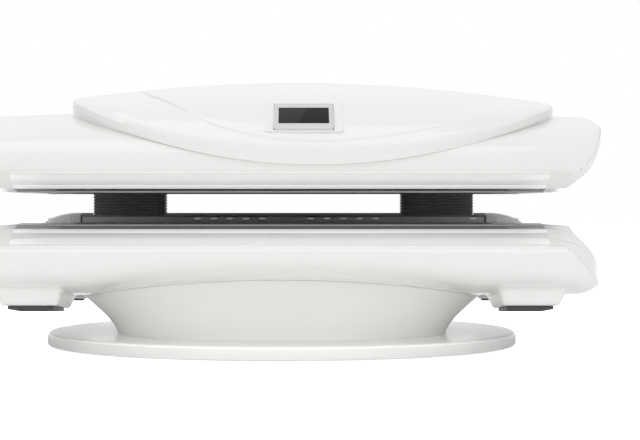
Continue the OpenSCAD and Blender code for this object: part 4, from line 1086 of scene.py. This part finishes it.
# Each finish: its base and shade as a colour of the panel with two factors, or as two colours; size and amount of
# the change of tone; size and amount of the specks; the grain's size, stretch, level, spread and detail; the bump's
# strength and distance in metres; and what is set on the shader's own sockets
FINISHES = {
    "Gloss shell": (("shell", 1.0, 0.965), (2.2, 0.7), (1400, 0.1), (420, 1.0, 0.16, 0.05, 2.0), (0.04, 0.0003),
                    {"Coat Weight": 0.55, "Coat Roughness": 0.05, "Specular IOR Level": 0.5}),
    # The shell's white 1.29 times brighter: painted light for the rim's bevel band.
    "Bright shell": (("shell", 1.29, 1.2513), (2.2, 0.7), (1400, 0.08), (420, 1.0, 0.16, 0.05, 2.0), (0.04, 0.0003),
                     {"Coat Weight": 0.4, "Coat Roughness": 0.08}),
    # A real satin finish whose white is 1.26 times the shell's, brighter as painted light under the hull.
    "Satin plate": (("shell", 1.2642, 1.2126), (3.0, 0.7), (1100, 0.16), (900, 1.0, 0.34, 0.12, 3.0), (0.08, 0.0002),
                    {"Coat Weight": 0.2, "Coat Roughness": 0.2}),
    "Brushed trim": (("metal", 1.0, 0.88), (5.0, 0.6), (1600, 0.1), (1500, 0.012, 0.34, 0.16, 4.0), (0.1, 0.0001),
                     {"Metallic": 0.45, "Anisotropic": 0.4}),
    # The metal at 0.84 of its strength: painted shade on the bed trim's lower face.
    "Trim face": (("metal", 0.84, 0.76), (5.0, 0.6), (1600, 0.1), (1500, 0.012, 0.34, 0.16, 4.0), (0.1, 0.0001),
                  {"Metallic": 0.45, "Anisotropic": 0.4}),
    "Satin bezel": (("metal", 0.66, 0.6), (5.0, 0.6), (1600, 0.1), (1500, 0.02, 0.4, 0.12, 4.0), (0.1, 0.0001),
                    {"Metallic": 0.3}),
    # A coated band, partly a real gloss, whose near-white colour is a painted highlight along the trim's bead.
    "Polished bead": (((0.93, 0.93, 0.93), (0.88, 0.88, 0.88)), (5.0, 0.5), (1600, 0.08),
                      (1500, 0.012, 0.2, 0.08, 4.0), (0.05, 0.0001),
                      {"Metallic": 0.2, "Coat Weight": 0.4, "Coat Roughness": 0.06}),
    # A lighter grey for the lip's flank: a painted highlight.
    "Lip edge": (((0.46, 0.46, 0.46), (0.4, 0.4, 0.4)), (5.0, 0.6), (1500, 0.1), (900, 0.1, 0.25, 0.08, 2.0),
                 (0.04, 0.0001), {"Metallic": 0.1, "Coat Weight": 0.4, "Coat Roughness": 0.08}),
    # The lip colour at 0.3 of its strength: painted shade on the canopy's lip.
    "Upper lip": (("lip", 0.3, 0.22), (3.0, 0.7), (1300, 0.12), (700, 0.2, 0.2, 0.08, 2.0), (0.04, 0.0002),
                  {"Coat Weight": 0.4, "Coat Roughness": 0.08}),
    "Smoked lip": (("lip", 1.0, 0.7), (3.0, 0.7), (1300, 0.12), (700, 0.2, 0.2, 0.08, 2.0), (0.04, 0.0002),
                   {"Coat Weight": 0.4, "Coat Roughness": 0.08}),
    "Bellows rubber": (("rubber", 1.0, 2.2), (9.0, 0.6), (800, 0.35), (1600, 1.0, 0.55, 0.18, 4.0), (0.22, 0.0003), {}),
    "Seal rubber": (("rubber", 2.8, 3.4), (9.0, 0.6), (800, 0.3), (1200, 0.1, 0.45, 0.14, 4.0), (0.1, 0.0002), {}),
    "Black plastic": (("plastic", 1.0, 1.7), (8.0, 0.6), (1200, 0.25), (1900, 1.0, 0.42, 0.14, 3.0), (0.2, 0.0002), {}),
    "Light board": (((0.15, 0.152, 0.154), (0.19, 0.19, 0.19)), (12.0, 0.7), (1700, 0.3), (1300, 1.0, 0.4, 0.12, 3.0),
                    (0.1, 0.0002), {}),
    "Edge strip": (((0.55, 0.55, 0.55), (0.6, 0.6, 0.6)), (12.0, 0.6), (1700, 0.2), (1300, 1.0, 0.4, 0.12, 3.0),
                   (0.1, 0.0002), {}),
    # Near-white and glowing at 0.22 though no lamp: painted glints along the bed's lip.
    "Edge socket": (((0.95, 0.94, 0.92), (0.9, 0.89, 0.87)), (30.0, 0.5), (1500, 0.1), (900, 1.0, 0.3, 0.06, 2.0),
                    (0.05, 0.0002), {"Emission Color": (1.0, 0.98, 0.95, 1), "Emission Strength": 0.22}),
    "Lamp lens": (((0.72, 0.7, 0.66), (0.6, 0.58, 0.55)), (30.0, 0.6), (1500, 0.1), (900, 1.0, 0.22, 0.06, 2.0),
                  (0.05, 0.0002), {"Coat Weight": 0.5}),
    "Painted steel": (((0.06, 0.061, 0.063), (0.085, 0.086, 0.088)), (7.0, 0.8), (1200, 0.25),
                      (1200, 1.0, 0.45, 0.12, 4.0), (0.25, 0.0003), {}),
    "Ground steel": (((0.6, 0.6, 0.61), (0.45, 0.45, 0.46)), (14.0, 0.7), (1500, 0.2), (1800, 0.15, 0.28, 0.16, 4.0),
                     (0.15, 0.0002), {"Metallic": 1.0}),
    "Galvanised sheet": (((0.5, 0.51, 0.52), (0.38, 0.39, 0.4)), (26.0, 0.9), (900, 0.2), (600, 1.0, 0.4, 0.2, 5.0),
                         (0.12, 0.0002), {"Metallic": 1.0}),
    "Clear sheet": (((0.95, 0.955, 0.955), (0.92, 0.925, 0.925)), (3.0, 0.5), (1200, 0.1), (600, 0.3, 0.05, 0.05, 2.0),
                    (0.01, 0.0001), {"Transmission Weight": 1.0, "IOR": 1.1}),
    "Display glass": (((0.006, 0.0062, 0.0065), (0.01, 0.0102, 0.0105)), (8.0, 0.6), (1300, 0.1),
                      (900, 1.0, 0.3, 0.06, 2.0), (0.02, 0.0001), {"Specular IOR Level": 0.12}),
}


class BED_OT_finishes(bpy.types.Operator):
    """Mixes every finish: gloss shell, brushed trim, smoked lip, clear sheet, rubber, boards, steel and plastic."""

    bl_idname = "bed.finishes"
    bl_label = "Finishes"

    def execute(self, context):
        tone_group()
        grain_group()
        for name, (colours, tone, specks, grain, bump, fixed) in FINISHES.items():
            if isinstance(colours[0], str):
                tint = getattr(context.scene.bed_finish, colours[0])
                colours = [[share * by for share in tint] for by in colours[1:]]
            self.finish(name, colours, tone + specks, grain, bump, fixed)
        self.lighter_slant(bpy.data.materials["Display glass"].node_tree)
        return {"FINISHED"}

    def finish(self, name, colours, tone, grain, bump, fixed):
        """A material of the two groups: tone into Base Color, grain into Roughness and, through a bump, Normal."""
        material = bpy.data.materials.new(name)
        material.use_nodes = True
        tree = material.node_tree
        shader = tree.nodes["Principled BSDF"].inputs
        groups = []
        for group, values in (("Tone and dust", [(*c, 1) for c in colours] + list(tone)), ("Grain", grain)):
            groups.append(wire(tree, "ShaderNodeGroup", node_tree=bpy.data.node_groups[group]))
            for socket, value in zip(groups[-1].inputs, values):
                socket.default_value = value
        change, texture = (group.outputs for group in groups)
        relief = {"Height": texture["Height"], "Strength": bump[0], "Distance": bump[1]}
        tree.links.new(change["Color"], shader["Base Color"])
        tree.links.new(texture["Roughness"], shader["Roughness"])
        tree.links.new(wire(tree, "ShaderNodeBump", relief).outputs["Normal"], shader["Normal"])
        for label, value in fixed.items():
            shader[label].default_value = value

    def lighter_slant(self, tree):
        """Dark glass with a lighter part on the left, growing towards the top and parted from the rest by a slanting
        line.
        """
        apart = wire(tree, "ShaderNodeSeparateXYZ", {"Vector": object_place(tree)}).outputs
        slant = calc(tree, "MULTIPLY_ADD", apart["Z"], -0.62, apart["X"])
        fall = scaled(tree, slant, -0.402, -0.398, 1.0, 0.0)
        mask = calc(tree, "MULTIPLY", fall, scaled(tree, apart["Z"], 0.7, 0.8, 0.2, 1.0))
        base = tree.nodes["Principled BSDF"].inputs["Base Color"]
        dark = base.links[0].from_socket
        tree.links.new(mixed(tree, mask, dark, (0.03, 0.03, 0.031, 1)), base)


# The CAD nodes that no piece above stands for, by finish
HIDDEN = {
    "Painted steel": "pedestal_frame bed_frame hinge_leaf_left hinge_leaf_right strut_cylinder_left canopy_frame "
                     "strut_cylinder_right canopy_leaf_left canopy_leaf_right",
    "Ground steel": "hinge_pins hinge_screws strut_rod_left strut_rod_right",
    "Galvanised sheet": "bed_light_tray canopy_light_tray power_supplies",
    "Black plastic": "control_box inlet_panel mains_inlet switch_rocker fan_housings fan_rotor_1 fan_rotor_2 "
                     "fan_rotor_3 fan_rotor_4 fin_plinth",
}
NODE_FINISH = {node: name for name, nodes in HIDDEN.items() for node in nodes.split()}


class BED_OT_frame_finishes(bpy.types.Operator):
    """Gives the frame's own nodes their finishes, and the shell's to those that a piece stands for."""

    bl_idname = "bed.frame_finishes"
    bl_label = "Frame finishes"

    def execute(self, context):
        for name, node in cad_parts.items():
            node.data.materials.clear()
            node.data.materials.append(bpy.data.materials[NODE_FINISH.get(name, "Gloss shell")])
        return {"FINISHED"}


# Stage

# Share of the horizon's light that comes from straight above, and how much of its white the floor gives the camera
OVERHEAD = 1.32
FLOOR_GLOW = 0.72
FLOOR_HALF = 14.0
# Where the photograph was taken from, but for the height, and how far its picture is shifted
EYE_X = 0.0515
EYE_Y = -4.045
SHIFT = (0.036, -0.056)
WHITE = (1, 1, 1, 1)


def lamp(name, place, aim, watts, width, height):
    """A rectangular area lamp that looks at a point."""
    data = bpy.data.lights.new(name, "AREA")
    data.shape, data.size, data.size_y, data.energy = "RECTANGLE", width, height, watts
    obj = bpy.data.objects.new(name, data)
    obj.location = place
    obj.visible_camera = False
    obj.rotation_euler = (Vector(aim) - Vector(place)).to_track_quat("-Z", "Y").to_euler()
    bpy.context.scene.collection.objects.link(obj)
    return obj


class BED_OT_stage(bpy.types.Operator):
    """White studio: a wide floor, even light, one large lamp above the front, and the camera of the photograph."""

    bl_idname = "bed.stage"
    bl_label = "Stage"

    def execute(self, context):
        scene = context.scene
        settings = scene.bed_stage
        self.world(scene, settings.ambient)
        self.floor()
        lamp("Key", (-0.4, -0.9, 3.8), (0, 0, 0.5), settings.key_power, 3.6, 2.0)
        lamp("Fill", (0.0, -4.6, 0.55), (0, 0, 0.4), settings.fill_power, 3.0, 0.9)
        for side in (-1, 1):
            lamp("Bounce", (0.0, side * 1.5, 0.04), (0, side * 0.4, 0.45), settings.bounce_power, 3.4, 0.6)
            under = lamp("Under", (0.0, side * 0.62, 0.09), (0, side * 0.2, 0.16), settings.under_power, 2.2, 0.08)
            under.visible_glossy = False
        data = bpy.data.cameras.new("Camera")
        data.lens, data.sensor_width = settings.lens, 36.0
        data.shift_x, data.shift_y = SHIFT
        camera = bpy.data.objects.new("Camera", data)
        camera.location = (EYE_X, EYE_Y, settings.eye_height)
        camera.rotation_euler = (math.radians(90), 0, 0)
        scene.collection.objects.link(camera)
        scene.camera = camera
        scene.view_settings.view_transform = "Standard"
        return {"FINISHED"}

    def world(self, scene, ambient):
        """White where the camera sees it, and for all else a soft light that weakens from the horizon up."""
        world = bpy.data.worlds.new("Studio")
        world.use_nodes = True
        tree = world.node_tree
        background = tree.nodes["Background"]
        path = wire(tree, "ShaderNodeLightPath").outputs
        seen = calc(tree, "MAXIMUM", path["Is Camera Ray"], path["Is Transmission Ray"])
        place = wire(tree, "ShaderNodeTexCoord").outputs["Generated"]
        up = wire(tree, "ShaderNodeSeparateXYZ", {"Vector": place}).outputs["Z"]
        level = scaled(tree, up, 0.0, 0.9, ambient, OVERHEAD * ambient)
        background.inputs["Color"].default_value = WHITE
        tree.links.new(scaled(tree, seen, 0.0, 1.0, level), background.inputs["Strength"])
        scene.world = world

    def floor(self):
        """A wide square just below the pads, whose white holds a soft shadow."""
        mesh = bpy.data.meshes.new("floor")
        corners = [(x * FLOOR_HALF, y * FLOOR_HALF, 0) for x, y in ((-1, -1), (1, -1), (1, 1), (-1, 1))]
        mesh.from_pydata(corners, [], [(0, 1, 2, 3)])
        material = bpy.data.materials.new("Studio floor")
        material.use_nodes = True
        tree = material.node_tree
        shader = tree.nodes["Principled BSDF"]
        shader.inputs["Roughness"].default_value = 0.7
        noise = wire(tree, "ShaderNodeTexNoise", {"Vector": object_place(tree), "Scale": 2.0, "Detail": 3.0})
        tone = mixed(tree, noise.outputs["Fac"], (0.9, 0.9, 0.9, 1), (0.92, 0.92, 0.92, 1))
        seen = wire(tree, "ShaderNodeLightPath").outputs["Is Camera Ray"]
        tree.links.new(tone, shader.inputs["Base Color"])
        tree.links.new(calc(tree, "MULTIPLY", seen, FLOOR_GLOW), shader.inputs["Emission Strength"])
        shader.inputs["Emission Color"].default_value = WHITE
        mesh.materials.append(material)
        obj = bpy.data.objects.new("floor", mesh)
        bpy.context.scene.collection.objects.link(obj)


OPERATORS = (BED_OT_finishes, BED_OT_hull, BED_OT_canopy, BED_OT_ends, BED_OT_rails, BED_OT_pedestal,
             BED_OT_floor_plate, BED_OT_grilles, BED_OT_light_bays, BED_OT_columns, BED_OT_fin, BED_OT_display,
             BED_OT_frame_finishes, BED_OT_stage)
GROUPS = {"bed_shell": ShellSizes, "bed_column": ColumnSizes, "bed_finish": Finishes, "bed_stage": StageSettings}


class BED_PT_panel(bpy.types.Panel):
    """Sidebar panel that lists the sizes, the finishes and the operators."""

    bl_idname = "BED_PT_panel"
    bl_label = "Light therapy bed"
    bl_space_type = "VIEW_3D"
    bl_region_type = "UI"
    bl_category = "Light Bed"

    def draw(self, context):
        """Lists each group's values, then a button for each operator."""
        column = self.layout.column()
        for group in GROUPS:
            settings = getattr(context.scene, group)
            for name in settings.bl_rna.properties.keys():
                if name not in ("rna_type", "name"):
                    column.prop(settings, name)
        for operator in OPERATORS:
            column.operator(operator.bl_idname)


CLASSES = (*GROUPS.values(), *OPERATORS, BED_PT_panel)


def register():
    """Registers the classes and hangs the property groups on the scene."""
    for kind in CLASSES:
        bpy.utils.register_class(kind)
    for name, group in GROUPS.items():
        setattr(bpy.types.Scene, name, PointerProperty(type=group))


def unregister():
    """Takes the property groups off the scene and unregisters the classes."""
    for name in GROUPS:
        delattr(bpy.types.Scene, name)
    for kind in reversed(CLASSES):
        bpy.utils.unregister_class(kind)


def main():
    register()
    for operator in OPERATORS:
        getattr(bpy.ops.bed, operator.bl_idname.partition(".")[2])()


if __name__ == "__main__":
    main()
